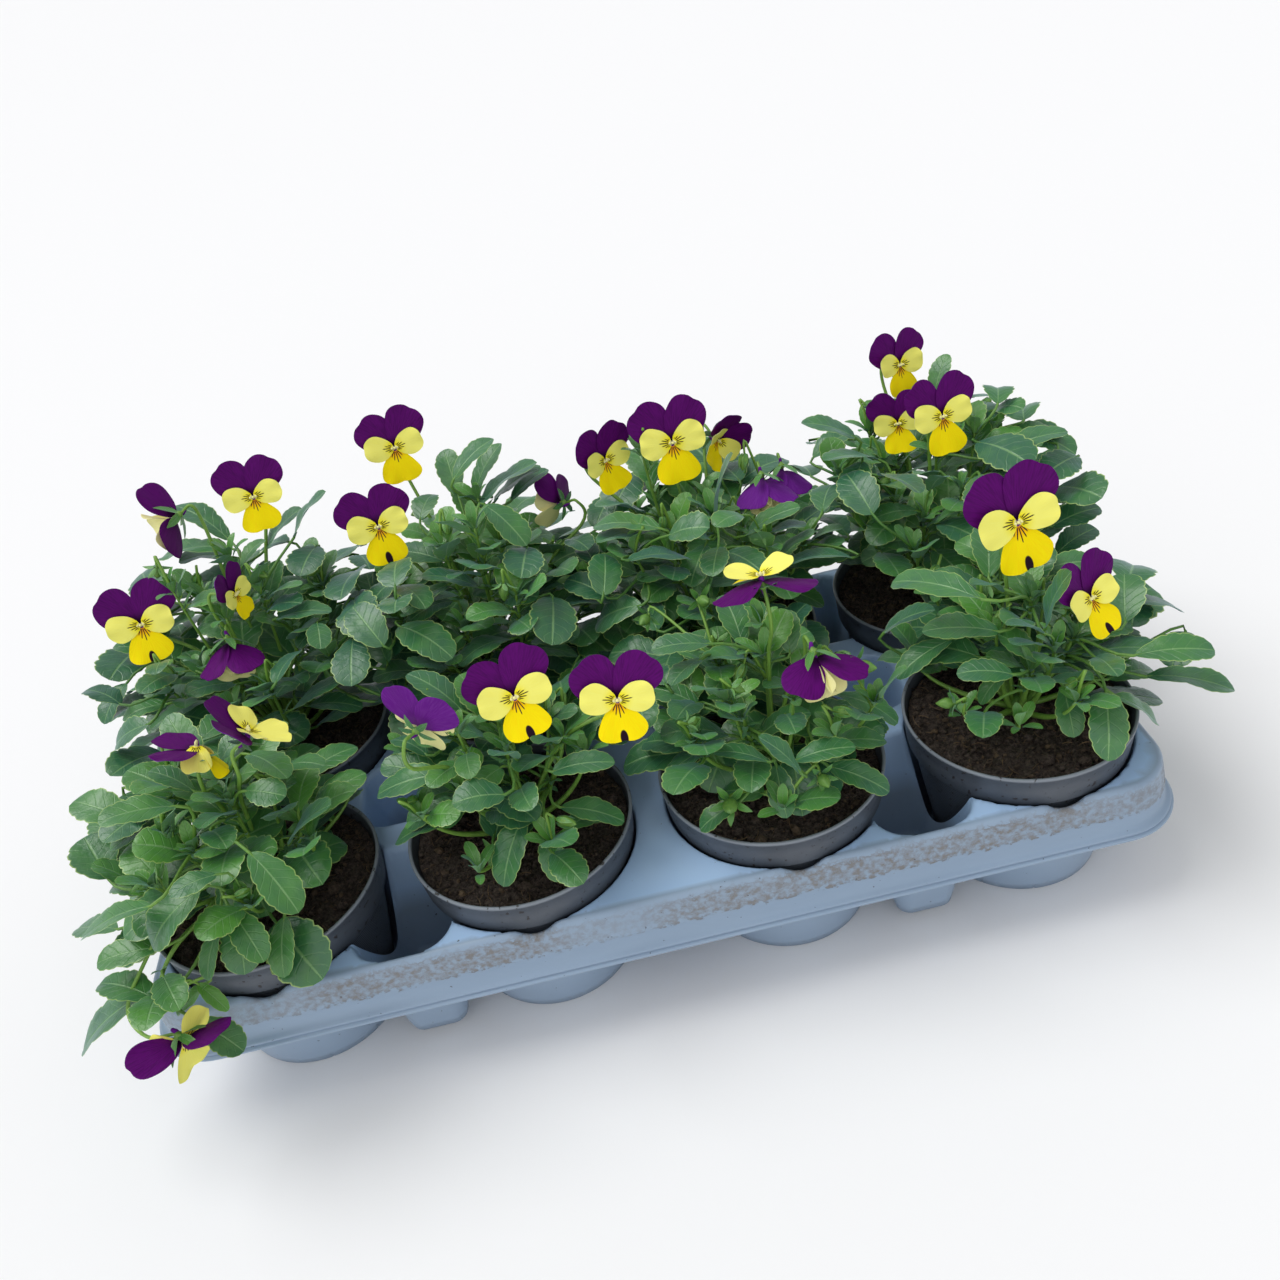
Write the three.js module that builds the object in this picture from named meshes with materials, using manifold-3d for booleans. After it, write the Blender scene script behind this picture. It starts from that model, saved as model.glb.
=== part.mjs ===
// A carry tray of eight potted garden violas: small flowered pansies in slate
// grey pots, standing in the sockets of a thermoformed plastic tray.
// Millimetres, +Z up, +X along the long side of the tray, the front looks to -Y.
// The floor is z = 0 and the origin is under the middle of the whole object, so the
// tray's centre stands a little off it, because the foliage reaches further out in front.
import * as THREE from 'three';
import { mergeVertices } from 'three/addons/utils/BufferGeometryUtils.js';
import Module from 'manifold-3d';

const wasm = await Module();
wasm.setup();

// ---- Driving dimensions ----------------------------------------------------

const potPitch = { x: 141, y: 131 };        // socket centre to socket centre
const pot = {
  sides: 16,                                // facets round each pot
  floorZ: 2, baseR: 43,                     // outside of the pot's bottom
  neckZ: 81, neckR: 57.5,                   // top of the ribbed body
  collarR: 60.2, rimZ: 101, rimR: 62,       // smooth collar up to the rim
  wall: 1.4,
};
const soil = { rimDrop: 7, gap: 0.4, crumb: 1.3, holeR: 7.4, holeDepth: 22 };
const tray = {
  topZ: 84, topHalf: { x: 273.5, y: 127.8 }, topCorner: 30,
  shoulderZ: 81, shoulderHalf: { x: 275, y: 129.4 },
  lipZ: 53.5, lipHalf: { x: 279.5, y: 133.5 },
  edgeZ: 51.5, edgeHalf: { x: 281, y: 135 }, edgeCorner: 36,
  wall: 1.5, cornerSteps: 3,
};
const socket = { topR: 61.4, bottomR: 46.5, sides: 16 };
const pocket = { half: { x: 26, y: 38 }, corner: 18, frontY: 124, taper: 11, floorZ: 6 };
const middlePocket = { half: { x: 25, y: 26 }, corner: 16, taper: 11, floorZ: 24 };
const pocketX = potPitch.x;                 // pockets lie between pots 1-2 and 3-4
const wellSteps = 2;                        // facets round a pocket's corner
const drainR = 5;
const drainSides = 8;
const cutPast = 3;                          // how far a cutting tool runs past a face

const seam = 0.35;                          // gap between touching sub-parts
const cellGap = 0.8;                        // half the gap between two plants
const bladeThickness = 1.3;
const stand = { x: -5, y: 13.7 };            // tray centre in the part's own frame

// ---- Seeded random numbers -------------------------------------------------

function randomSource(seed) {
  let state = seed >>> 0;
  return (low = 0, high = 1) => {
    state = (Math.imul(state, 1664525) + 1013904223) >>> 0;
    return low + (high - low) * state / 4294967296;
  };
}

// ---- Solids ----------------------------------------------------------------

function solidOf(geometry) {
  const bare = geometry.clone();
  for (const name of Object.keys(bare.attributes)) {
    if (name !== 'position') bare.deleteAttribute(name);
  }
  const merged = mergeVertices(bare, 1e-4);
  const solid = new wasm.Manifold(new wasm.Mesh({
    numProp: 3,
    vertProperties: new Float32Array(merged.attributes.position.array),
    triVerts: new Uint32Array(merged.index.array),
  }));
  return solid;
}

function geometryOf(solid) {
  const mesh = solid.getMesh();
  const geometry = new THREE.BufferGeometry();
  geometry.setAttribute('position', new THREE.BufferAttribute(new Float32Array(mesh.vertProperties), 3));
  geometry.setIndex(new THREE.BufferAttribute(new Uint32Array(mesh.triVerts), 1));
  return geometry;
}

// A list of points and a list of corner triples become a solid.
function solidFrom(points, triangles) {
  return new wasm.Manifold(new wasm.Mesh({
    numProp: 3,
    vertProperties: new Float32Array(points.flatMap((p) => [p.x, p.y, p.z])),
    triVerts: new Uint32Array(triangles.flat()),
  }));
}

function fuse(solids) {
  let row = solids;
  while (row.length > 1) {
    const next = [];
    for (let i = 0; i < row.length; i += 2) {
      next.push(i + 1 < row.length ? row[i].add(row[i + 1]) : row[i]);
    }
    row = next;
  }
  return row[0];
}

// Loose scraps of a fused plant are dropped: the biggest body is the plant.
function largestBody(solid) {
  const bodies = solid.decompose();
  return bodies.reduce((best, body) => (body.volume() > best.volume() ? body : best));
}

function turnedSolid(profile, sides) {
  const geometry = new THREE.LatheGeometry(profile.map(([r, z]) => new THREE.Vector2(r, z)), sides);
  geometry.rotateX(Math.PI / 2);
  return solidOf(geometry);
}

// Points round a rounded rectangle, anticlockwise from above.
function roundedOutline(half, corner, steps) {
  const points = [];
  const quarters = [[1, 1], [-1, 1], [-1, -1], [1, -1]];
  quarters.forEach(([sx, sy], quarter) => {
    for (let i = 0; i <= steps; i += 1) {
      const angle = (quarter + i / steps) * Math.PI / 2;
      points.push([
        sx * (half.x - corner) + corner * Math.cos(angle),
        sy * (half.y - corner) + corner * Math.sin(angle),
      ]);
    }
  });
  return points;
}

// Outlines of equal point counts, stacked at rising heights, closed at both ends.
function stackedSolid(layers) {
  const count = layers[0].outline.length;
  const points = layers.flatMap(({ outline, z }) => (
    outline.map(([x, y]) => new THREE.Vector3(x, y, z))));
  const triangles = [];
  for (let layer = 0; layer + 1 < layers.length; layer += 1) {
    for (let i = 0; i < count; i += 1) {
      const a = layer * count + i;
      const b = layer * count + (i + 1) % count;
      triangles.push([a, b, b + count], [a, b + count, a + count]);
    }
  }
  const top = (layers.length - 1) * count;
  for (let i = 1; i + 1 < count; i += 1) {
    triangles.push([0, i + 1, i], [top, top + i, top + i + 1]);
  }
  return solidFrom(points, triangles);
}

// ---- Tray --------------------------------------------------------------------

const potCentres = [];
for (const [row, iy] of [['a', -0.5], ['b', 0.5]]) {
  for (let column = 0; column < 4; column += 1) {
    const name = `${row}${column + 1}`;
    potCentres.push({ name, x: (column - 1.5) * potPitch.x, y: iy * potPitch.y });
  }
}

function trayShell(inset, lowZ) {
  const steps = tray.cornerSteps;
  const layer = (half, corner, z) => ({
    outline: roundedOutline({ x: half.x - inset, y: half.y - inset }, corner - inset, steps),
    z,
  });
  return stackedSolid([
    layer(tray.edgeHalf, tray.edgeCorner, lowZ),
    layer(tray.lipHalf, tray.edgeCorner, tray.lipZ),
    layer(tray.shoulderHalf, tray.topCorner, tray.shoulderZ - inset),
    layer(tray.topHalf, tray.topCorner, tray.topZ - inset),
  ]);
}

// A tapered well under a rounded rectangle, wider by spread all round.
function well({ half, corner, taper }, topZ, floorZ, spread) {
  const outline = (inset, radius) => roundedOutline(
    { x: half.x - inset + spread, y: half.y - inset + spread }, radius + spread, wellSteps);
  return stackedSolid([
    { outline: outline(taper, corner - taper / 2), z: floorZ },
    { outline: outline(0, corner), z: topZ },
  ]);
}

function buildTray() {
  const { wall } = tray;
  const skinZ = tray.topZ - wall / 2;       // inside the sheet, so that the cups join it
  const outside = [];
  const inside = [];
  for (const centre of potCentres) {
    const cup = turnedSolid([
      [0, 0], [socket.bottomR + wall / 2, 0], [socket.topR + wall, skinZ], [0, skinZ],
    ], socket.sides);
    const cavity = turnedSolid([
      [0, wall], [socket.bottomR, wall], [socket.topR, tray.topZ],
      [socket.topR, tray.topZ + cutPast], [0, tray.topZ + cutPast],
    ], socket.sides);
    outside.push(cup.translate([centre.x, centre.y, 0]));
    inside.push(cavity.translate([centre.x, centre.y, 0]));
  }
  for (const sx of [-1, 1]) {
    const wells = [
      { size: pocket, y: -(pocket.frontY - pocket.half.y) },
      { size: pocket, y: pocket.frontY - pocket.half.y },
      { size: middlePocket, y: 0 },
    ];
    for (const { size, y } of wells) {
      const place = [sx * pocketX, y, 0];
      outside.push(well(size, skinZ, size.floorZ, wall).translate(place));
      inside.push(well(size, tray.topZ, size.floorZ + wall, 0).translate(place));
      const drain = new THREE.CylinderGeometry(drainR, drainR, 2 * cutPast, drainSides);
      drain.rotateX(Math.PI / 2);
      inside.push(solidOf(drain).translate([place[0], place[1], size.floorZ]));
    }
  }
  const skin = trayShell(0, tray.edgeZ).subtract(trayShell(wall, tray.edgeZ - 1));
  const footprint = roundedOutline({ x: tray.shoulderHalf.x - 1, y: tray.shoulderHalf.y - 1 },
    tray.topCorner, tray.cornerSteps);
  const below = stackedSolid([
    { outline: footprint, z: -1 }, { outline: footprint, z: tray.shoulderZ - 1 },
  ]);
  const cups = fuse(outside).intersect(trayShell(0, tray.edgeZ).add(below));
  return skin.add(cups).subtract(fuse(inside));
}

// ---- Pots and soil -------------------------------------------------------------

function buildPot() {
  const { wall } = pot;
  return turnedSolid([
    [0, pot.floorZ], [pot.baseR, pot.floorZ], [pot.neckR, pot.neckZ], [pot.collarR, pot.neckZ],
    [pot.rimR, pot.rimZ], [pot.rimR - wall, pot.rimZ], [pot.neckR - wall, pot.neckZ - 1],
    [pot.baseR - wall, pot.floorZ + wall], [0, pot.floorZ + wall],
  ], pot.sides);
}

function buildSoil(random) {
  const topZ = pot.rimZ - soil.rimDrop;
  const wallSlope = (pot.neckR - pot.baseR) / (pot.neckZ - 1 - pot.floorZ - pot.wall);
  const lowZ = pot.floorZ + pot.wall + soil.gap;
  const lowR = pot.baseR - pot.wall - soil.gap;
  const body = new THREE.LatheGeometry([
    [0, lowZ], [lowR, lowZ], [lowR + wallSlope * (topZ - lowZ), topZ],
    [36, topZ + 1], [0, topZ + 0.8],
  ].map(([r, z]) => new THREE.Vector2(r, z)), pot.sides);
  body.rotateX(Math.PI / 2);
  for (const name of ['normal', 'uv']) body.deleteAttribute(name);
  const merged = mergeVertices(body, 1e-4);
  const place = merged.attributes.position;
  for (let i = 0; i < place.count; i += 1) {
    const reach = Math.hypot(place.getX(i), place.getY(i));
    if (place.getZ(i) > topZ - 1 && reach > 1) {
      place.setZ(i, place.getZ(i) + random(-soil.crumb, soil.crumb));
    }
  }
  const hole = turnedSolid([[0, topZ - soil.holeDepth], [soil.holeR, topZ - soil.holeDepth],
    [soil.holeR, topZ + 8], [0, topZ + 8]], 6);
  return solidOf(merged).subtract(hole);
}

// ---- Leaves, stems and petals ----------------------------------------------------

const up = new THREE.Vector3(0, 0, 1);

function polar(bearing, reach, z) {
  const angle = THREE.MathUtils.degToRad(bearing);
  return new THREE.Vector3(reach * Math.cos(angle), reach * Math.sin(angle), z);
}

// Two chains of corners with rising parameters are joined by triangles.
function zip(left, right, flip, triangles) {
  let i = 0;
  let j = 0;
  while (i + 1 < left.length || j + 1 < right.length) {
    const nextLeft = i + 1 < left.length ? left[i + 1].u : Infinity;
    const nextRight = j + 1 < right.length ? right[j + 1].u : Infinity;
    const onLeft = nextLeft <= nextRight;
    const corner = onLeft ? left[i + 1].id : right[j + 1].id;
    const triangle = [left[i].id, right[j].id, corner];
    if (new Set(triangle).size === 3) triangles.push(flip ? triangle.reverse() : triangle);
    if (onLeft) i += 1; else j += 1;
  }
}

// A leaf: a stalk from root to base, then a spoon shaped blade from base to tip.
// The blade is a lens with a sharp edge, bowed along its rib and folded along it,
// and a large one has two blunt teeth on each side.
const leafOutline = {
  large: {
    edge: [[0.2, 0.62], [0.38, 0.95], [0.5, 0.85], [0.68, 1], [0.79, 0.84], [0.93, 0.62]],
    rib: [0.36, 0.72],
  },
  small: { edge: [[0.34, 0.84], [0.7, 1], [0.93, 0.58]], rib: [0.52] },
};

function leafFrame({ base, tip, roll }) {
  const along = tip.clone().sub(base).normalize();
  const outward = new THREE.Vector3(along.x, along.y, 0).normalize();
  const facing = up.clone().addScaledVector(outward, -0.5);
  const side = along.clone().cross(facing).normalize().applyAxisAngle(along, roll);
  return { along, side, face: side.clone().cross(along) };
}

function leafPoint({ base, tip, bow }, { face }, u) {
  return base.clone().lerp(tip, u).addScaledVector(face, 4 * bow * u * (1 - u));
}

function leafSolid(leaf) {
  const frame = leafFrame(leaf);
  const { edge, rib } = leafOutline[leaf.kind];
  const points = [];
  const triangles = [];
  const put = (point) => points.push(point) - 1;
  const ring = (centre, direction, halfWidth, corners) => {
    const side = frame.side.clone().addScaledVector(direction, -frame.side.dot(direction)).normalize();
    const face = side.clone().cross(direction);
    return corners.map(([s, f]) => put(centre.clone()
      .addScaledVector(side, s * halfWidth).addScaledVector(face, f * halfWidth)));
  };
  const stalk = leaf.base.clone().sub(leaf.root).normalize();
  const root = ring(leaf.root, stalk, 0.75, [[-1, 0.5], [1, 0.5], [0, -1]]);
  const neck = ring(leaf.base, frame.along, 0.9, [[-1, 0], [0, 1], [1, 0], [0, -1]]);
  triangles.push(
    [root[0], root[2], root[1]],
    [root[0], neck[1], neck[0]], [root[0], root[1], neck[1]], [root[1], neck[2], neck[1]],
    [root[1], root[2], neck[2]], [root[2], neck[3], neck[2]],
    [root[2], root[0], neck[3]], [root[0], neck[0], neck[3]],
  );
  const tip = put(leaf.tip);
  const edges = [-1, 1].map((side) => [
    { u: 0, id: neck[side < 0 ? 0 : 2] },
    ...edge.map(([u, wide]) => ({
      u,
      id: put(leafPoint(leaf, frame, u).addScaledVector(frame.side, side * wide * leaf.width / 2)
        .addScaledVector(frame.face, leaf.fold * wide * leaf.width / 2)),
    })),
    { u: 1, id: tip },
  ]);
  for (const [level, neckId] of [[1, neck[1]], [-1, neck[3]]]) {
    const ribs = [
      { u: 0, id: neckId },
      ...rib.map((u) => ({
        u,
        id: put(leafPoint(leaf, frame, u).addScaledVector(frame.face, level * bladeThickness / 2)),
      })),
      { u: 1, id: tip },
    ];
    zip(edges[0], ribs, level < 0, triangles);
    zip(edges[1], ribs, level > 0, triangles);
  }
  return solidFrom(points, triangles);
}

// Corners of a tapered tube along a smooth curve, ring after ring.
function tubeRings(curve, lowR, highR, steps, sides) {
  const points = [];
  const triangles = [];
  let side = new THREE.Vector3(1, 0, 0);
  for (let step = 0; step <= steps; step += 1) {
    const u = step / steps;
    const centre = curve.getPoint(u);
    const along = curve.getTangent(u);
    side = side.clone().addScaledVector(along, -side.dot(along)).normalize();
    const other = along.clone().cross(side);
    const radius = lowR + (highR - lowR) * u;
    for (let i = 0; i < sides; i += 1) {
      const angle = 2 * Math.PI * i / sides;
      points.push(centre.clone().addScaledVector(side, radius * Math.cos(angle))
        .addScaledVector(other, radius * Math.sin(angle)));
    }
  }
  for (let step = 0; step < steps; step += 1) {
    for (let i = 0; i < sides; i += 1) {
      const a = step * sides + i;
      const b = step * sides + (i + 1) % sides;
      triangles.push([a, b, b + sides], [a, b + sides, a + sides]);
    }
  }
  for (let i = 1; i + 1 < sides; i += 1) triangles.push([0, i + 1, i]);
  return { points, triangles, top: steps * sides };
}

function stemSolid(curve, lowR, highR, steps, sides) {
  const { points, triangles, top } = tubeRings(curve, lowR, highR, steps, sides);
  for (let i = 1; i + 1 < sides; i += 1) triangles.push([top, top + i, top + i + 1]);
  return solidFrom(points, triangles);
}

// A viola's face as two thin leaves of lobes, each outline running from the top
// round to the bottom of the right half as [angle from the top, radius]: the two
// upper petals behind, and the two side petals with the lower petal in front.
const faces = {
  upper: {
    layer: -1.45,
    outline: [[0, 22.8], [14, 27.9], [34, 30.6], [56, 27.7], [76, 20], [92, 11], [112, 4], [180, 3]],
    lobes: [{ from: 0, to: 7, middle: [38, 16] }],
  },
  lower: {
    layer: 0.15,
    outline: [[0, 2.5], [46, 9], [62, 18], [80, 21], [98, 20], [115, 14], [129, 7],
      [140, 17], [155, 22], [169, 24.5], [180, 22.5]],
    lobes: [{ from: 0, to: 6, middle: [84, 12] }, { from: 6, to: 10, middle: [180, 13], whole: true }],
  },
  // Blooms seen from the side or from behind have all five lobes in one leaf.
  all: {
    layer: -1.5,
    outline: [[0, 22.8], [14, 27.9], [34, 30.6], [55, 26], [67, 12], [75, 19], [90, 21], [108, 18],
      [126, 8], [140, 17], [155, 22], [169, 24.5], [180, 22.5]],
    lobes: [{ from: 0, to: 4, middle: [34, 15] }, { from: 4, to: 8, middle: [92, 12] },
      { from: 8, to: 12, middle: [180, 13], whole: true }],
  },
};
const petalThickness = 1.1;
const ruffle = 0.6;                         // waves of the rim to and fro

function bloomFrame({ azimuth, tilt, spin }) {
  const a = THREE.MathUtils.degToRad(azimuth);
  const t = THREE.MathUtils.degToRad(tilt);
  const facing = new THREE.Vector3(Math.sin(a) * Math.cos(t), -Math.cos(a) * Math.cos(t), Math.sin(t));
  const level = new THREE.Vector3(Math.cos(a), Math.sin(a), 0);
  const turn = THREE.MathUtils.degToRad(spin);
  const right = level.clone().applyAxisAngle(facing, -turn);
  return { facing, right, top: facing.clone().cross(right) };
}

// One layer of petals: a closed lens over each lobe, with a thin rim.
function faceSolid(bloom, frame, face) {
  const lean = Math.tan(THREE.MathUtils.degToRad(bloom.open));
  const place = ([degrees, radius], height) => {
    const angle = THREE.MathUtils.degToRad(degrees);
    const reach = radius * bloom.size / Math.hypot(1, lean);
    return bloom.at.clone()
      .addScaledVector(frame.facing, face.layer + reach * lean + height)
      .addScaledVector(frame.top, reach * Math.cos(angle))
      .addScaledVector(frame.right, reach * Math.sin(angle));
  };
  const points = [];
  const put = (spot, height) => points.push(place(spot, height)) - 1;
  const half = petalThickness / 2;
  const centre = [half, -half].map((height) => put([0, 0], height));
  const wave = (i) => (i % 2 ? ruffle : -ruffle) * (face.outline[i][1] > 10 ? 1 : 0);
  const last = face.outline.length - 1;
  const right = face.outline.map((spot, i) => put(spot, wave(i)));
  const left = face.outline.map(([degrees, radius], i) => (
    i === 0 || i === last ? right[i] : put([-degrees, radius], wave(i))));
  const triangles = [];
  const fan = (rim, middle, mirrored) => {
    [1, 0].forEach((level) => {
      const hub = put(mirrored ? [-middle[0], middle[1]] : middle, level ? half : -half);
      const ring = [centre[1 - level], ...rim];
      ring.forEach((corner, i) => {
        const next = ring[(i + 1) % ring.length];
        const outwards = (level === 1) === mirrored;
        triangles.push(outwards ? [hub, corner, next] : [hub, next, corner]);
      });
    });
  };
  for (const { from, to, middle, whole } of face.lobes) {
    const rim = right.slice(from, to + 1);
    const mirror = left.slice(from, to + 1);
    if (whole) {
      fan([...rim, ...mirror.slice(0, -1).reverse()], middle, false);
    } else {
      fan(rim, middle, false);
      fan(mirror, middle, true);
    }
  }
  return solidFrom(points, triangles);
}

function petalNode(bloom, face) {
  return faceSolid(bloom, bloomFrame(bloom), faces[face]);
}

// A flower stalk that spreads into five green sepals, a thin star behind the petals.
const sepal = { front: -2.4, back: -6, tip: 10, dip: 3.4, tipBack: -4.4 };
const stalk = { lowR: 1.4, highR: 1.1, steps: 4, sides: 3 };

function flowerStalkSolid(bloom, curve) {
  const frame = bloomFrame(bloom);
  const { points, triangles, top } = tubeRings(curve, stalk.lowR, stalk.highR, stalk.steps, stalk.sides);
  const angleOf = (point) => {
    const from = point.clone().sub(bloom.at);
    return Math.atan2(from.dot(frame.right), from.dot(frame.top));
  };
  const ring = [];
  for (let i = 0; i < stalk.sides; i += 1) ring.push({ id: top + i, u: angleOf(points[top + i]) });
  const star = [];
  for (let i = 0; i < 10; i += 1) {
    const angle = Math.PI * (i / 5 - 1) + 0.01;
    const [radius, depth] = i % 2 ? [sepal.dip, sepal.front - 1] : [sepal.tip, sepal.tipBack];
    star.push({
      u: angle,
      id: points.push(bloom.at.clone().addScaledVector(frame.facing, depth)
        .addScaledVector(frame.top, radius * Math.cos(angle))
        .addScaledVector(frame.right, radius * Math.sin(angle))) - 1,
    });
  }
  ring.sort((a, b) => a.u - b.u);
  const closed = (chain) => [...chain, { id: chain[0].id, u: chain[0].u + 2 * Math.PI }];
  zip(closed(ring), closed(star), false, triangles);
  const front = points.push(bloom.at.clone().addScaledVector(frame.facing, sepal.front)) - 1;
  star.forEach(({ id }, i) => triangles.push([front, star[(i + 1) % 10].id, id]));
  return solidFrom(points, triangles);
}

// ---- The eight plants ---------------------------------------------------------------

// Blooms: place of the throat from the pot's centre and above the floor, the way
// the face looks (azimuth from the front, tilt upwards, spin), how far the petals
// close towards the front (open 0 is flat), and size against a 52 mm bloom.
const blooms = [
  { pot: 'b1', at: [-18, 20, 249], azimuth: -70, tilt: -25, spin: 30, open: 25, size: 0.85 },
  { pot: 'b1', at: [27, 30, 247], azimuth: 5, tilt: 20, spin: 0, open: 6, size: 0.84, pair: true },
  { pot: 'b1', at: [-50, -10, 203], azimuth: 5, tilt: 20, spin: 0, open: 6, size: 0.94, pair: true },
  { pot: 'b1', at: [14, -30, 220], azimuth: 75, tilt: 5, spin: 0, open: 10, size: 0.62 },
  { pot: 'b1', at: [0, -34, 190], azimuth: 0, tilt: -55, spin: 180, open: 50, size: 0.8 },
  { pot: 'b2', at: [-29, 45, 251], azimuth: 8, tilt: 20, spin: 0, open: 6, size: 0.86, pair: true },
  { pot: 'b2', at: [-46, 5, 223], azimuth: 5, tilt: 20, spin: 0, open: 6, size: 0.9, pair: true },
  { pot: 'b2', at: [58, 34, 197], azimuth: 200, tilt: 0, spin: 15, open: 20, size: 0.72 },
  { pot: 'b3', at: [-50, 14, 228], azimuth: 35, tilt: 10, spin: 0, open: 15, size: 0.84 },
  { pot: 'b3', at: [-10, 5, 234], azimuth: 5, tilt: 20, spin: 0, open: 6, size: 0.98, pair: true },
  { pot: 'b3', at: [22, 40, 212], azimuth: 80, tilt: 0, spin: 0, open: 12, size: 0.8 },
  { pot: 'b3', at: [40, 4, 196], azimuth: 0, tilt: -60, spin: 180, open: 50, size: 0.8 },
  { pot: 'b3', at: [57, 24, 188], azimuth: 20, tilt: -65, spin: 180, open: 58, size: 0.72 },
  { pot: 'a3', at: [8, 2, 219], azimuth: 180, tilt: 50, spin: 180, open: 8, size: 0.92 },
  { pot: 'a3', at: [24, -30, 186], azimuth: 10, tilt: -60, spin: 180, open: 50, size: 0.86 },
  { pot: 'b4', at: [-3, 38, 235], azimuth: 20, tilt: 15, spin: 5, open: 6, size: 0.8 },
  { pot: 'b4', at: [-13, 14, 209], azimuth: -25, tilt: 15, spin: -10, open: 8, size: 0.72 },
  { pot: 'b4', at: [2, -18, 224], azimuth: 8, tilt: 20, spin: 0, open: 6, size: 0.88, pair: true },
  { pot: 'a4', at: [-4, 0, 218], azimuth: 5, tilt: 20, spin: -6, open: 6, size: 1.06, pair: true },
  { pot: 'a4', at: [30, -14, 172], azimuth: 28, tilt: 30, spin: 0, open: 8, size: 0.86 },
  { pot: 'a2', at: [19, -20, 198], azimuth: 5, tilt: 22, spin: -8, open: 6, size: 0.9, pair: true },
  { pot: 'a2', at: [67, -26, 187], azimuth: -5, tilt: 22, spin: 3, open: 6, size: 0.9, pair: true },
  { pot: 'a2', at: [-28, -20, 195], azimuth: 150, tilt: 5, spin: -15, open: 8, size: 0.84 },
  { pot: 'a1', at: [4, -6, 202], azimuth: -120, tilt: 60, spin: 0, open: 14, size: 0.8 },
  { pot: 'a1', at: [32, -12, 208], azimuth: 110, tilt: 45, spin: 0, open: 16, size: 0.82 },
  { pot: 'a1', at: [-34, -92, 88], azimuth: 33, tilt: -74, spin: 0, open: 14, size: 0.86, rise: 38 },
];

// Leaves that stand out in each plant: bearing, reach and height of the tip, the
// blade's length, the bearing it points to, and how much higher its tip is.
const showyLeaves = {
  a1: [[-134, 88, 150, 38, 180, -10], [-144, 88, 120, 34, 180, 0], [-147, 92, 104, 36, 150, 0],
    [-148, 116, 66, 48, -172, -24], [-61, 82, 142, 38, -53, -22], [-78, 80, 122, 32, -60, -14],
    [-75, 79, 106, 30, -95, -14], [-102, 74, 112, 24, -112, -14], [-25, 66, 165, 40, -12, 25],
    [-132, 56, 198, 34, -160, 10], [165, 84, 165, 42, 150, 10], [120, 50, 190, 36, 120, 20]],
  a2: [[-168, 64, 152, 42, 170, -8], [-163, 65, 122, 34, 174, -10], [-100, 56, 110, 38, -125, -22],
    [-72, 60, 106, 28, -85, -18], [-34, 68, 114, 34, -17, -12], [-30, 68, 155, 32, -7, 0],
    [-45, 50, 200, 44, -21, 36], [140, 48, 190, 36, 140, 16], [60, 44, 175, 34, 50, 10]],
  a3: [[-53, 78, 120, 32, -30, -12], [-39, 68, 135, 32, -6, -5], [-60, 66, 150, 30, -9, 4],
    [-132, 50, 150, 28, 156, 5], [-103, 60, 160, 26, 152, 18], [-135, 68, 110, 26, -177, -12],
    [177, 52, 190, 30, 179, 4], [5, 58, 176, 34, 30, -4], [-95, 62, 118, 28, -95, -14],
    [100, 40, 188, 32, 95, 14]],
  a4: [[168, 65, 190, 50, 130, -5], [-178, 54, 166, 38, 158, 0], [-179, 68, 138, 36, -171, -14],
    [-81, 50, 114, 28, -100, -16], [-148, 34, 122, 24, -160, -14], [-34, 78, 176, 48, -5, 6],
    [-36, 72, 200, 28, -16, 8], [-32, 92, 150, 38, -15, 0], [-32, 104, 126, 42, -30, -4],
    [-72, 32, 204, 34, -20, 34], [-42, 72, 108, 30, -20, -20], [90, 46, 190, 36, 70, 12]],
  b1: [[42, 64, 232, 34, 14, 18], [115, 74, 236, 46, 139, 18], [134, 68, 212, 48, 164, -4],
    [-176, 78, 156, 46, 164, -14], [-174, 98, 150, 44, 171, -8], [90, 70, 190, 40, 90, -4],
    [-20, 62, 190, 34, -10, 0], [160, 88, 180, 40, 165, -8]],
  b2: [[92, 52, 240, 32, 97, 22], [52, 54, 240, 34, 30, 22], [23, 58, 228, 40, -14, 20],
    [154, 50, 200, 34, 150, 4], [-140, 56, 185, 34, -150, -4], [100, 92, 170, 42, 95, -10],
    [60, 84, 185, 38, 62, -4]],
  b3: [[-56, 34, 236, 52, -20, 50], [20, 48, 222, 40, 40, 30], [-171, 66, 200, 42, 152, 0],
    [176, 66, 212, 42, 143, 12], [-36, 64, 198, 36, -10, 14], [-110, 58, 178, 34, -120, -8],
    [95, 90, 170, 42, 92, -10], [60, 80, 190, 38, 60, -2]],
  b4: [[139, 68, 228, 32, 145, 12], [127, 58, 240, 36, 123, 26], [50, 36, 240, 26, 40, 20],
    [-30, 78, 208, 42, -16, 12], [160, 60, 134, 40, 142, -16], [-60, 60, 180, 36, -50, -4],
    [10, 94, 175, 42, 5, -8], [60, 88, 180, 40, 60, -6], [100, 86, 160, 38, 100, -12]],
};

const plantRule = {
  stems: 3, stemReach: [26, 36], stemTop: [136, 158], backRise: 22,
  middleReach: 5, middleTop: 172, stemR: [2.4, 1.7], stemSteps: 2, stemSides: 4,
  crownR: 6.5, crownZ: 101, crownSides: 6, sink: 1.5, footReach: 3,
  showyWidth: 0.5, widest: 20, showyLift: 4,
};
// Leaves that fill each dome: candidates in a golden-angle spiral from the low rim
// to the top, each kept when it is clear of the blooms, the pots and other leaves.
const dome = {
  candidates: 18, turn: 137.508, lowZ: 110, reach: 74, outerReach: 82,
  frontHeight: 84, backHeight: 112, lowest: -0.06, highest: 0.97,
  lowLength: [30, 40], topLength: [24, 31], width: [0.5, 0.6], margin: 2.6,
  shortestStalk: 4, longestStalk: 42,
};

function insideOutline(x, y, half) {
  return Math.abs(x) < half.x && Math.abs(y) < half.y;
}

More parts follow.
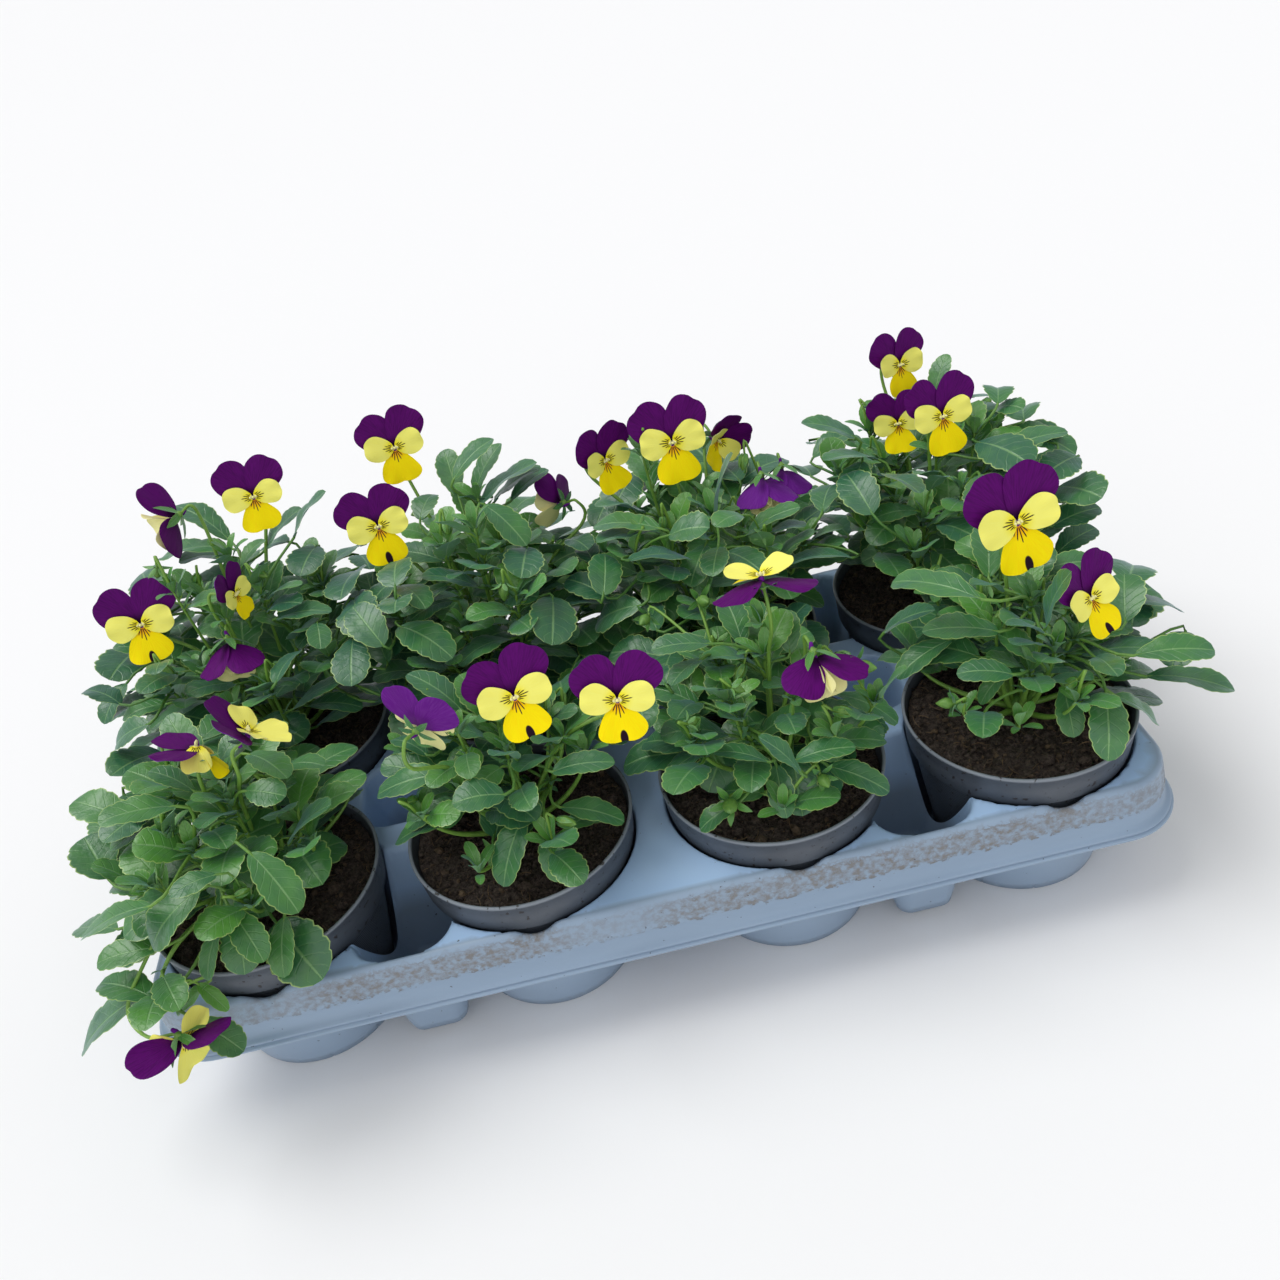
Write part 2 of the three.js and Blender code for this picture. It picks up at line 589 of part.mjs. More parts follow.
// The height that foliage has to stay above at a place of the tray's frame.
function floorBelow(x, y) {
  for (const centre of potCentres) {
    const reach = Math.hypot(x - centre.x, y - centre.y);
    if (reach < pot.rimR - 4) return pot.rimZ - soil.rimDrop + soil.crumb + 3.2;
    if (reach < pot.rimR + 2.5) return pot.rimZ + 2;
  }
  const nearTray = { x: tray.edgeHalf.x + 4, y: tray.edgeHalf.y + 4 };
  return insideOutline(x, y, nearTray) ? tray.topZ + 2.5 : 8;
}

function placedBloom(bloom) {
  const centre = potCentres.find(({ name }) => name === bloom.pot);
  const [dx, dy, z] = bloom.at;
  return { ...bloom, at: new THREE.Vector3(centre.x + dx, centre.y + dy, z) };
}

const placedBlooms = blooms.map(placedBloom);

function stalkCurve(bloom, foot) {
  const { facing } = bloomFrame(bloom);
  const end = bloom.at.clone().addScaledVector(facing, sepal.back);
  const arch = end.clone().addScaledVector(facing, -13).addScaledVector(up, facing.z < -0.3 ? 12 : 2);
  const rise = foot.clone().lerp(end, 0.5).addScaledVector(up, bloom.rise ?? 14);
  return new THREE.CatmullRomCurve3([foot, rise, arch.clone().addScaledVector(up, -16), arch, end]);
}

// A place is free of a bloom when it is off the plane of the open petals, or out
// of their reach, and away from the sepals behind them.
function clearOfBlooms(place) {
  return placedBlooms.every((bloom) => {
    const { facing } = bloomFrame(bloom);
    const from = place.clone().sub(bloom.at);
    const depth = from.dot(facing);
    const radius = Math.sqrt(Math.max(from.lengthSq() - depth * depth, 0));
    const front = 6 + 26 * bloom.size * Math.sin(THREE.MathUtils.degToRad(Math.min(bloom.open + 8, 90)));
    return radius > 28 * bloom.size || depth < -12 || depth > front;
  });
}

function leafSamples(leaf) {
  const frame = leafFrame(leaf);
  const samples = [];
  for (const u of [0.05, 0.25, 0.5, 0.75, 1]) {
    for (const side of [-0.5, 0, 0.5]) {
      const reach = side * leaf.width * (u > 0.9 ? 0.2 : 1);
      samples.push(leafPoint(leaf, frame, u).addScaledVector(frame.side, reach)
        .addScaledVector(frame.face, Math.abs(side) * leaf.fold * leaf.width));
    }
  }
  for (const u of [0.3, 0.45, 0.6, 0.75, 0.9]) samples.push(leaf.root.clone().lerp(leaf.base, u));
  return samples;
}

// Two blades cross when points of one lie in the thin slab that the other fills.
function bladesCross(one, other, margin) {
  const frame = leafFrame(other);
  const length = other.tip.distanceTo(other.base);
  return leafSamples(one).slice(0, 15).some((place) => {
    const from = place.clone().sub(other.base);
    const u = from.dot(frame.along) / length;
    if (u < -0.05 || u > 1.05) return false;
    const off = place.clone().sub(leafPoint(other, frame, u));
    const beside = Math.abs(off.dot(frame.side)) < other.width / 2 + 1;
    return beside && Math.abs(off.dot(frame.face)) < margin;
  });
}

function mix([low, high], part) {
  return low + (high - low) * part;
}

// The four upright stems of a plant: three spread round the crown and one in the middle.
function plantStems(centre, random) {
  const foot = new THREE.Vector3(centre.x, centre.y, 0);
  const rise = centre.y < 0 ? 0 : plantRule.backRise;
  const stems = [];
  for (let i = 0; i <= plantRule.stems; i += 1) {
    const middle = i === plantRule.stems;
    const bearing = 360 * i / plantRule.stems + random(-22, 22);
    const reach = middle ? plantRule.middleReach : random(...plantRule.stemReach);
    const top = middle ? plantRule.middleTop : random(...plantRule.stemTop);
    const bend = plantRule.crownZ + 0.4 * (top - plantRule.crownZ);
    stems.push(new THREE.QuadraticBezierCurve3(
      foot.clone().add(polar(bearing, plantRule.footReach, plantRule.crownZ - plantRule.sink)),
      foot.clone().add(polar(bearing, 0.75 * reach, bend)),
      foot.clone().add(polar(bearing, reach, top + rise)),
    ));
  }
  return stems;
}

// The place on a stem that a leaf grows from: near the blade's base and below it.
function nearestStem(stems, base) {
  let best = null;
  for (const curve of stems) {
    for (let step = 5; step <= 24; step += 1) {
      const place = curve.getPoint(step / 25);
      const distance = place.distanceTo(base) + 2.5 * Math.max(0, place.z - base.z + 2);
      if (!best || distance < best.distance) best = { distance, place };
    }
  }
  return best.place;
}

function showyLeaf(centre, stems, [bearing, reach, height, length, heading, rise], lift, roll) {
  const foot = new THREE.Vector3(centre.x, centre.y, 0);
  const tip = foot.clone().add(polar(bearing, reach, height + 4 * lift));
  const level = Math.sqrt(Math.max(length * length - rise * rise, 100));
  const base = tip.clone().sub(polar(heading, level, rise + lift));
  return {
    kind: length > 35 ? 'large' : 'small', base, tip, root: nearestStem(stems, base), roll,
    width: Math.min(plantRule.showyWidth * length, plantRule.widest), bow: 0.08 * length, fold: 0.16,
  };
}

function domeLeaf(centre, stems, index, random) {
  const part = (index + 0.5) / dome.candidates;
  const climb = Math.asin(mix([dome.lowest, dome.highest], part));
  const bearing = dome.turn * index + random(-12, 12);
  const outer = Math.abs(centre.x) > potPitch.x;
  const reach = (outer ? dome.outerReach : dome.reach) * random(0.86, 1);
  const height = (centre.y < 0 ? dome.frontHeight : dome.backHeight) * random(0.9, 1);
  const length = part < 0.55 ? random(...dome.lowLength) : random(...dome.topLength);
  const heading = bearing + random(-38, 38);
  const pitch = climb * 0.85 - 0.3 + random(-0.3, 0.3);
  const width = length * random(...dome.width);
  const roll = random(-0.3, 0.3);
  const fold = random(0.08, 0.22);
  const tip = new THREE.Vector3(centre.x, centre.y, 0)
    .add(polar(bearing, reach * Math.cos(climb), dome.lowZ + height * Math.sin(climb)));
  const base = tip.clone().sub(polar(heading, length * Math.cos(pitch), length * Math.sin(pitch)));
  const root = nearestStem(stems, base);
  return { kind: 'small', base, tip, root, width, roll, bow: 0.1 * length, fold };
}

function plantLeaves(centre, stems, random) {
  const outer = { left: centre.x < -potPitch.x, right: centre.x > potPitch.x, front: centre.y < 0 };
  const inCell = (place) => {
    const dx = place.x - centre.x;
    const dy = place.y - centre.y;
    const limit = { x: potPitch.x / 2 - cellGap, y: potPitch.y / 2 - cellGap };
    return (outer.right || dx < limit.x) && (outer.left || dx > -limit.x)
      && (outer.front ? dy < limit.y : dy > -limit.y);
  };
  const leaves = [];
  const tryLeaf = (leaf) => {
    const free = leafSamples(leaf).every((place) => inCell(place)
      && place.z > floorBelow(place.x, place.y) && clearOfBlooms(place));
    const crosses = (other) => (
      bladesCross(leaf, other, dome.margin) || bladesCross(other, leaf, dome.margin));
    if (!free || leaves.some(crosses)) return false;
    leaves.push(leaf);
    return true;
  };
  for (const place of showyLeaves[centre.name]) {
    const roll = random(-0.2, 0.2);
    for (let lift = 0; lift < plantRule.showyLift; lift += 1) {
      if (tryLeaf(showyLeaf(centre, stems, place, lift, roll))) break;
    }
  }
  for (let index = 0; index < dome.candidates; index += 1) {
    const leaf = domeLeaf(centre, stems, index, random);
    const stalkLength = leaf.root.distanceTo(leaf.base);
    if (stalkLength > dome.shortestStalk && stalkLength < dome.longestStalk) tryLeaf(leaf);
  }
  return leaves;
}

function buildPlant(centre, seed) {
  const random = randomSource(seed);
  const stems = plantStems(centre, random);
  const leaves = plantLeaves(centre, stems, random);
  const crown = new THREE.Vector3(centre.x, centre.y, plantRule.crownZ);
  const own = placedBlooms.filter((bloom) => bloom.pot === centre.name);
  const stalks = own.map((bloom) => {
    const toBloom = bloom.at.clone().sub(crown);
    const bearing = THREE.MathUtils.radToDeg(Math.atan2(toBloom.y, toBloom.x));
    const foot = crown.clone().add(polar(bearing, plantRule.footReach, -plantRule.sink));
    return flowerStalkSolid(bloom, stalkCurve(bloom, foot));
  });
  const plug = stemSolid(new THREE.LineCurve3(
    crown.clone().setZ(pot.rimZ - soil.rimDrop - soil.holeDepth + seam),
    crown.clone().add(new THREE.Vector3(0, 0, 1)),
  ), plantRule.crownR - 1, plantRule.crownR, 1, plantRule.crownSides);
  const { stemR, stemSteps, stemSides } = plantRule;
  const parts = [
    plug,
    ...stems.map((curve) => stemSolid(curve, stemR[0], stemR[1], stemSteps, stemSides)),
    ...leaves.map(leafSolid),
    ...stalks,
  ];
  return largestBody(fuse(parts));
}

// ---- The scene graph ---------------------------------------------------------------

const materials = {
  tray: new THREE.MeshStandardMaterial({ color: 0xa9b8c9, roughness: 0.45, metalness: 0 }),
  pot: new THREE.MeshStandardMaterial({ color: 0x4a4f57, roughness: 0.5, metalness: 0 }),
  soil: new THREE.MeshStandardMaterial({ color: 0x35261e, roughness: 1, metalness: 0 }),
  foliage: new THREE.MeshStandardMaterial({ color: 0x4b7a45, roughness: 0.6, metalness: 0 }),
  purple: new THREE.MeshStandardMaterial({ color: 0x45105f, roughness: 0.7, metalness: 0 }),
  yellow: new THREE.MeshStandardMaterial({ color: 0xf8de2e, roughness: 0.6, metalness: 0 }),
};

const group = new THREE.Group();

function addPart(name, solid, material) {
  const mesh = new THREE.Mesh(geometryOf(solid), material);
  mesh.name = name;
  mesh.position.set(stand.x, stand.y, 0);
  group.add(mesh);
  return mesh;
}

addPart('tray', buildTray(), materials.tray);

potCentres.forEach((centre, index) => {
  const place = [centre.x, centre.y, 0];
  addPart(`pot_${centre.name}`, buildPot().translate(place), materials.pot);
  addPart(`soil_${centre.name}`, buildSoil(randomSource(300 + index)).translate(place), materials.soil);
  addPart(`foliage_${centre.name}`, buildPlant(centre, 40 + index), materials.foliage);
});

const bloomCount = {};
placedBlooms.forEach((bloom) => {
  bloomCount[bloom.pot] = (bloomCount[bloom.pot] ?? 0) + 1;
  const name = `bloom_${bloom.pot}_${bloomCount[bloom.pot]}`;
  if (bloom.pair) {
    addPart(`${name}_upper`, petalNode(bloom, 'upper'), materials.purple);
    addPart(`${name}_lower`, petalNode(bloom, 'lower'), materials.yellow);
  } else {
    addPart(name, petalNode(bloom, 'all'), materials.purple);
  }
});

export default group;
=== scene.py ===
# %% [markdown]
# # A carry tray of eight potted pansies
# The CAD model is loaded first. It is a plain model of the same tray, and each piece that
# this lesson makes stands for one or more of its solids. All sizes below are real ones in
# millimetres, measured from the middle of the tray and up from the floor.

# %% Load the frame
import bpy
import numpy as np
from mathutils import Matrix, Vector
from mathutils.geometry import delaunay_2d_cdt


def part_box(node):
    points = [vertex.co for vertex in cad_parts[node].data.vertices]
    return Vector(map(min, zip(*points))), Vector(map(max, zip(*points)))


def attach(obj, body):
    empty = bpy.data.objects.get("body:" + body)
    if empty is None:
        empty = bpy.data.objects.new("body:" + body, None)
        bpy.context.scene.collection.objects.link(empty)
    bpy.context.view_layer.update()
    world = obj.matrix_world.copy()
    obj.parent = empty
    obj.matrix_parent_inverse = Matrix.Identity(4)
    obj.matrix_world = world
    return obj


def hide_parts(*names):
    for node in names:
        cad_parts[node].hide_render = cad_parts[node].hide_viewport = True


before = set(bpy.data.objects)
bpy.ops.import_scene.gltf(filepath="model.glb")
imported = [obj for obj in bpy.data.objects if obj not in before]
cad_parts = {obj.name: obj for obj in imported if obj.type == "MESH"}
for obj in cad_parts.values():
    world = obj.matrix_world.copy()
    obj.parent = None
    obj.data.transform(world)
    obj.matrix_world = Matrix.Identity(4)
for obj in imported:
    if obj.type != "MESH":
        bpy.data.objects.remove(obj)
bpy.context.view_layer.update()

tray_low, tray_high = (np.array(corner) * 1000 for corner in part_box("tray"))
tray_middle = (tray_low + tray_high) / 2 * [1, 1, 0]
print("the tray is", np.round(tray_high - tray_low, 1), "mm")
print("its middle is at", np.round(tray_middle, 1))

# %% [markdown]
# ## The camera
# The photograph was taken from above the front edge, with the camera turned a little, so
# that the tray runs uphill to the right. A camera's matrix holds its right, its up and its
# backward direction as columns, then its place. The lens is the focal length in pixels,
# carried over to Blender's 36 mm wide sensor.

# %% Camera
photo_width = 1280
focal_pixels = 1100.24
yaw, pitch, roll = 0.0354, 0.6243, -0.2062
camera_place = np.array([-1.65, -508.4, 519.1])


def camera_directions(yaw, pitch, roll):
    """Right, up and forward: forward is turned by yaw and tipped down by pitch, and the
    other two are turned about it by roll."""
    forward = np.array([np.sin(yaw) * np.cos(pitch), np.cos(yaw) * np.cos(pitch),
                        -np.sin(pitch)])
    level = np.array([np.cos(yaw), -np.sin(yaw), 0.0])
    upward = np.cross(level, forward)
    right = np.cos(roll) * level + np.sin(roll) * upward
    return right, np.cross(right, forward), forward


right, upward, forward = camera_directions(yaw, pitch, roll)
camera = bpy.data.objects.new("camera", bpy.data.cameras.new("camera"))
sensor_width = 36
camera.data.sensor_width = sensor_width
camera.data.lens = focal_pixels * sensor_width / photo_width
camera.data.clip_start = 0.01
camera.matrix_world = Matrix.Translation((camera_place + tray_middle) / 1000) @ Matrix(
    np.column_stack([right, upward, -forward]).tolist()).to_4x4()
bpy.context.collection.objects.link(camera)
bpy.context.scene.camera = camera
print("the lens is", round(camera.data.lens, 2), "mm")

# %% [markdown]
# ## Colours and nodes
# Colours are picked as sRGB hex codes, the way a paint program shows them, and shaders
# want linear numbers. One small function adds a node, sets it and links it, and a few
# shorter ones name the kinds that come most often, so that a finish reads as a list of
# steps.

# %% Colours


def colour(code):
    """Linear RGBA of a hex code: each part is undone from its sRGB curve."""
    parts = np.array([int(code[i:i + 2], 16) for i in (1, 3, 5)]) / 255
    linear = np.where(parts <= 0.04045, parts / 12.92, ((parts + 0.055) / 1.055) ** 2.4)
    return (*linear.tolist(), 1.0)


print("mid grey, #808080, is", round(colour("#808080")[0], 3), "of white")

# %% Adding nodes
object_place, attribute_value = 3, 2               # the outputs that hold them


def add(tree, kind, inputs=None, out=0, **settings):
    """Adds a node with its settings, links or sets its inputs, and returns one output."""
    node = tree.nodes.new("ShaderNode" + kind)
    for key, value in settings.items():
        setattr(node, key, value)
    for key, value in (inputs or {}).items():
        if isinstance(value, bpy.types.NodeSocket):
            tree.links.new(value, node.inputs[key])
        else:
            node.inputs[key].default_value = value
    return node.outputs[out]


def maths(tree, operation, *values, **settings):
    """The operation on up to three values, each a number or a socket."""
    return add(tree, "Math", dict(enumerate(values)), operation=operation, **settings)


def product(tree, first, *others):
    """All the values multiplied together."""
    for other in others:
        first = maths(tree, "MULTIPLY", first, other)
    return first


def remap(tree, value, low, high, to_low=0.0, to_high=1.0, smooth=False):
    """Carries low to to_low and high to to_high, in a straight line or a smooth step."""
    return add(tree, "MapRange", {0: value, 1: low, 2: high, 3: to_low, 4: to_high},
               interpolation_type="SMOOTHSTEP" if smooth else "LINEAR")


def blend(tree, amount, first, second):
    """A colour between two, as hex codes or sockets: the first where amount is 0."""
    first, second = (colour(one) if isinstance(one, str) else one for one in (first, second))
    return add(tree, "Mix", {0: amount, 6: first, 7: second}, out=2, data_type="RGBA")


def noise(tree, place, scale, detail, **more):
    """Cloudy noise with about scale clouds in a metre: 420 makes them 2.4 mm wide."""
    return add(tree, "TexNoise", {"Vector": place, "Scale": scale, "Detail": detail, **more})


# %% Starting and ending a finish


def finish(name, **constants):
    """A new material, its node tree and its Principled shader with constants set."""
    material = bpy.data.materials.new(name)
    material.use_nodes = True
    shader = material.node_tree.nodes["Principled BSDF"]
    for key, value in constants.items():
        shader.inputs[key.replace("_", " ")].default_value = value
    return material, material.node_tree, shader


def dress(tree, shader, tone, relief, strength, distance):
    """Links the colour, and the relief through a bump that is at most distance high."""
    tree.links.new(tone, shader.inputs["Base Color"])
    bump = add(tree, "Bump", {"Height": relief, "Strength": strength, "Distance": distance})
    tree.links.new(bump, shader.inputs["Normal"])
    print(shader.id_data.name, "has", len(tree.nodes), "nodes")


# %% [markdown]
# ## Floor and light
# A plain pale floor, a sun as wide as a bright cloud, up on the left behind the tray, for
# a soft shadow to the right, a weaker and wider one in front that lights the faces of the
# blooms, and an even pale sky for the rest. A sun lights the whole floor evenly, where a
# lamp close by would leave its far part grey.

# %% Floor
floor_mesh = bpy.data.meshes.new("floor")
floor_mesh.from_pydata([(-60, -5, 0), (60, -5, 0), (60, 90, 0), (-60, 90, 0)], [], [(0, 1, 2, 3)])
floor = bpy.data.objects.new("floor", floor_mesh)
bpy.context.collection.objects.link(floor)
floor_paint, *_ = finish("floor_paint", Base_Color=colour("#f2f2f2"), Roughness=0.9,
                         Specular_IOR_Level=0.1)
floor_mesh.materials.append(floor_paint)
print("the floor has", len(floor_mesh.polygons), "face")

# %% Light
for name, energy, angle, backward in (             # backward runs from the floor to the light
        ("soft_sun", 1.65, 0.7, (-0.48, 0.20, 0.90)),
        ("front_fill", 0.80, 1.6, (-0.15, -0.75, 0.62))):
    lamp = bpy.data.objects.new(name, bpy.data.lights.new(name, "SUN"))
    lamp.data.energy, lamp.data.angle = energy, angle
    lamp.matrix_world = Vector(backward).to_track_quat("Z", "Y").to_matrix().to_4x4()
    bpy.context.collection.objects.link(lamp)
    print(name, "is", round(np.degrees(angle)), "degrees wide")
world = bpy.data.worlds.new("pale_sky")
world.use_nodes = True
sky = world.node_tree.nodes["Background"].inputs
sky["Color"].default_value = colour("#f3f4f7")
sky["Strength"].default_value = 0.54
bpy.context.scene.world = world
bpy.context.scene.view_settings.view_transform = "Standard"

# %% [markdown]
# ## From arrays to a piece
# Every shape below is worked out as whole numpy arrays. A shape holds its points, its
# faces (four corner numbers each, with -1 in the last place for a triangle), a place on
# a flat map for each point, the finish of each face, and one more number for each point
# that its finish may read.

# %% Faces over a grid


def unit(vectors):
    """Each vector divided by its own length."""
    return vectors / np.maximum(np.linalg.norm(vectors, axis=-1, keepdims=True), 1e-9)


def skin(index, start=None, end=None, flip=False):
    """Faces over a grid of point numbers: a quad between neighbours, and triangles from
    the first and the last row to a pole. They face columns cross rows, or back if flipped."""
    corners = [index[:-1, :-1], index[:-1, 1:], index[1:, 1:], index[1:, :-1]]
    faces = [np.stack(corners, -1).reshape(-1, 4)]
    none = np.full(index.shape[1] - 1, -1)
    if start is not None:
        faces.append(np.stack([none * 0 + start, index[0, 1:], index[0, :-1], none], -1))
    if end is not None:
        faces.append(np.stack([index[-1, :-1], index[-1, 1:], none * 0 + end, none], -1))
    faces = np.vstack(faces)
    return faces[:, [2, 1, 0, 3]] if flip else faces


def round_skin(index, *ends, flip=False):
    """Faces over rings of point numbers, whose last column meets the first again."""
    return skin(np.hstack([index, index[:, :1]]), *ends, flip=flip)


print("a grid of 3 by 4 points has", len(skin(np.arange(12).reshape(3, 4))), "faces")

# %% Shapes


def shape(points, faces, flat=(0, 0), part=0, mark=0.0):
    """A shape as a dictionary, with single values spread over all points or faces."""
    count = len(points)
    return {"points": points, "faces": faces, "flat": np.broadcast_to(flat, (count, 2)),
            "part": np.broadcast_to(part, len(faces)), "mark": np.broadcast_to(mark, count)}


def join(shapes):
    """One shape of many: each one's corner numbers move up by the points before it."""
    starts = np.cumsum([0] + [len(one["points"]) for one in shapes])
    faces = [np.where(one["faces"] < 0, -1, one["faces"] + start)
             for one, start in zip(shapes, starts)]
    both = {key: np.concatenate([one[key] for one in shapes])
            for key in ("points", "flat", "part", "mark")}
    return {**both, "faces": np.vstack(faces)}


# %% Pieces
rim_angle = np.radians(100)                        # sharper edges than this stay sharp


def make_piece(name, form, materials, nodes):
    """Puts a shape into a mesh, in metres of the frame, hangs it on the root, and hides the CAD
    nodes that it takes the place of.
    """
    mesh = bpy.data.meshes.new(name)
    faces = [face[:3] if face[3] < 0 else face for face in form["faces"].tolist()]
    mesh.from_pydata(((form["points"] + tray_middle) / 1000).tolist(), [], faces)
    corners = np.zeros(len(mesh.loops), np.int32)
    mesh.loops.foreach_get("vertex_index", corners)
    flat = mesh.uv_layers.new(name="flat")
    flat.data.foreach_set("uv", form["flat"][corners].astype(np.float32).ravel())
    mark = mesh.attributes.new("mark", "FLOAT", "POINT")
    mark.data.foreach_set("value", form["mark"].astype(np.float32))
    for material in materials:
        mesh.materials.append(material)
    mesh.polygons.foreach_set("material_index", form["part"].astype(np.int32))
    mesh.polygons.foreach_set("use_smooth", np.ones(len(faces), bool))
    mesh.update()
    mesh.set_sharp_from_angle(angle=rim_angle)     # such as the rims of leaves and petals
    piece = bpy.data.objects.new(name, mesh)
    bpy.context.collection.objects.link(piece)
    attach(piece, "root")
    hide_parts(*nodes)
    print(name, "has", len(faces), "faces")
    return piece


# %% [markdown]
# ## The tray
# The real tray is one thin plastic sheet, drawn by vacuum over a mould: it has eight cups
# for the pots, open wells between them, and a skirt with a rolled lip. A Boolean of cones
# would leave sharp edges, so the deck is a height field instead. The height over each
# place is the lowest of the deck, the cups and the wells, and every opening rolls down
# into its wall over a quarter circle. The points lie in rings round each opening, so the
# edges come out clean, and a Delaunay triangulation joins them.

# %% Tray sizes
pot_pitch = np.array([141.0, 131.0])
pot_names = [row + str(column) for row in "ab" for column in (1, 2, 3, 4)]
pot_centres = np.array([((column - 1.5) * pot_pitch[0], side * pot_pitch[1] / 2)
                        for side in (-1, 1) for column in range(4)])
deck_z = 84.0
sheet = 1.5
cup_top, cup_bottom, cup_floor = 61.4, 46.5, 1.5
well_x = pot_pitch[0]
wells = [  # middle, half size, corner radius, inside floor height, edge radius
    (np.array([side * well_x, y]), half, corner, floor_z, edge)
    for side in (-1, 1)
    for y, half, corner, floor_z, edge in (
        (-86.0, np.array([26.0, 38.0]), 18.0, 7.5, 5.0),
        (86.0, np.array([26.0, 38.0]), 18.0, 7.5, 5.0),
        (0.0, np.array([25.0, 26.0]), 16.0, 25.5, 4.0))]
well_taper = 11.0
drain_radius = 5.0
cup_edge = 3.0                                     # the radius that rolls the deck into a cup
crease_width = 1.2                                 # how wide the creases are rounded
shoulder_half, shoulder_corner = np.array([275.0, 129.4]), 30.0
print("the cups are", 2 * cup_top, "mm wide and", deck_z - cup_floor, "mm deep")

# %% Rounded rectangles


def rounded_outline(half, corner, count):
    """Points at equal steps round a rounded rectangle, and the outward directions there:
    four quarter circles, each moved out to its own corner."""
    angle = np.radians(np.arange(0, 361, 2.0))     # 45 steps of two degrees in each quarter
    middles = (half - corner) * np.array([(1, 1), (-1, 1), (-1, -1), (1, -1)])
    turns = np.stack([np.cos(angle), np.sin(angle)], -1)
    quarter = np.repeat(np.arange(4), 46)
    step = np.concatenate([np.arange(46) + 45 * k for k in range(4)])
    rough, facing = middles[quarter] + corner * turns[step], turns[step]
    rough, facing = np.vstack([rough, rough[:1]]), np.vstack([facing, facing[:1]])
    steps = np.linalg.norm(np.diff(rough, axis=0), axis=1)
    travel = np.concatenate([[0], np.cumsum(steps)])
    at = np.linspace(0, travel[-1], count, endpoint=False)
    even = np.stack([np.interp(at, travel, rough[:, k]) for k in (0, 1)], -1)
    out = np.stack([np.interp(at, travel, facing[:, k]) for k in (0, 1)], -1)
    return even, unit(out)


def outline_distance(places, half, corner):
    """How far places lie outside a rounded rectangle: below zero is inside."""
    past = np.abs(places) - (half - corner)
    outside = np.linalg.norm(np.maximum(past, 0), axis=-1)
    return outside + np.minimum(np.max(past, axis=-1), 0) - corner


print("a well's middle is", -outline_distance(np.zeros(2), *wells[0][1:3]), "mm inside it")

# %% Height of the openings


def opening_height(distance, floor_z, taper, edge):
    """Height at a distance outside an opening: the deck, a quarter circle of radius edge
    down to the mouth, then a straight wall that leans in by taper down to the floor."""
    rounding = np.sqrt(np.maximum(edge ** 2 - (edge - np.clip(distance, 0, edge)) ** 2, 0))
    mouth = deck_z - edge
    wall = mouth + np.minimum(distance, 0) * (mouth - floor_z) / taper
    return np.maximum(wall, floor_z) + rounding


def blend_low(one, other, width):
    """The lower of two heights, with the crease between them rounded over width."""
    near = np.maximum(width - np.abs(one - other), 0) / width
    return np.minimum(one, other) - near ** 2 * width / 4


def cup_heights(places):
    """The height of each of the eight cups over each place."""
    return [opening_height(np.linalg.norm(places - centre, axis=1) - cup_top, cup_floor,
                           cup_top - cup_bottom, cup_edge) for centre in pot_centres]


def well_heights(places):
    """The height of each of the six wells over each place."""
    return [opening_height(outline_distance(places - middle, half, corner), floor_z,
                           well_taper, edge) for middle, half, corner, floor_z, edge in wells]


def tray_height(places):
    """The lowest of all openings over each place, blended where a well meets a cup."""
    height = np.full(len(places), deck_z)
    for opening in cup_heights(places) + well_heights(places):
        height = blend_low(height, opening, crease_width)
    return height


print("the deck beside a cup is", tray_height(np.array([[0.0, -120.0]]))[0].round(1), "mm up")

# %% Where walls meet


def apart_of(places):
    """How far the lowest cup is above the lowest well over each place, and both heights."""
    cup, well = np.min(cup_heights(places), axis=0), np.min(well_heights(places), axis=0)
    return cup - well, cup, well


def crease_points():
    """Points on the lines where a cup's wall meets a well's wall: a fine grid near them,
    moved by Newton's steps to where both heights are the same."""
    x, y = np.meshgrid(np.arange(-200, 201, 1.3), np.arange(-126, 127, 1.3))
    at = np.stack([x.ravel(), y.ravel()], -1)
    hair = 0.01                                    # a very small step, to measure the slope
    for _ in range(5):
        apart, cup, well = apart_of(at)
        near = ((np.abs(apart) < 14) & (np.maximum(cup, well) < deck_z - 0.3)
                & (np.minimum(cup, well) > 8))
        at, apart = at[near], apart[near]
        slope = np.stack([(apart_of(at + step)[0] - apart) / hair
                          for step in np.array([(hair, 0), (0, hair)])], -1)
        move = -apart[:, None] * slope / np.maximum((slope ** 2).sum(-1), 0.5)[:, None]
        at = at + np.clip(move, -1.5, 1.5)
    return at[np.abs(apart_of(at)[0]) < 0.3]


def thinned(places, cell):
    """One place of those that fall in the same cell of a square grid."""
    _, kept = np.unique(np.round(places / cell).astype(int), axis=0, return_index=True)
    return places[np.sort(kept)]


creases = thinned(crease_points(), 1.1)
print("the walls meet along", len(creases), "points")

# %% Rings round the openings
around = np.linspace(0, 2 * np.pi, 145)[:-1]
circle = np.stack([np.cos(around), np.sin(around)], -1)
edge_steps = 1 - np.cos(np.radians([22, 42, 62, 82]))          # even steps of the rounding
cup_rings = np.concatenate([[-46, -30, -14.9, -13.9, -11, -7, -3.5, -1, 0],
                            cup_edge * edge_steps, [cup_edge + 1.2]])
rings = [centre + (cup_top + gap) * circle for centre in pot_centres for gap in cup_rings]
for middle, half, corner, floor_z, edge in wells:
    for gap in (-15, -11, -10.2, -8, -4.5, -1.5, 0, *edge * edge_steps, edge + 1.2):
        around, _ = rounded_outline(half + gap, max(corner + gap, 2.0), 110)
        rings.append(middle + around)
print("there are", len(rings), "rings")

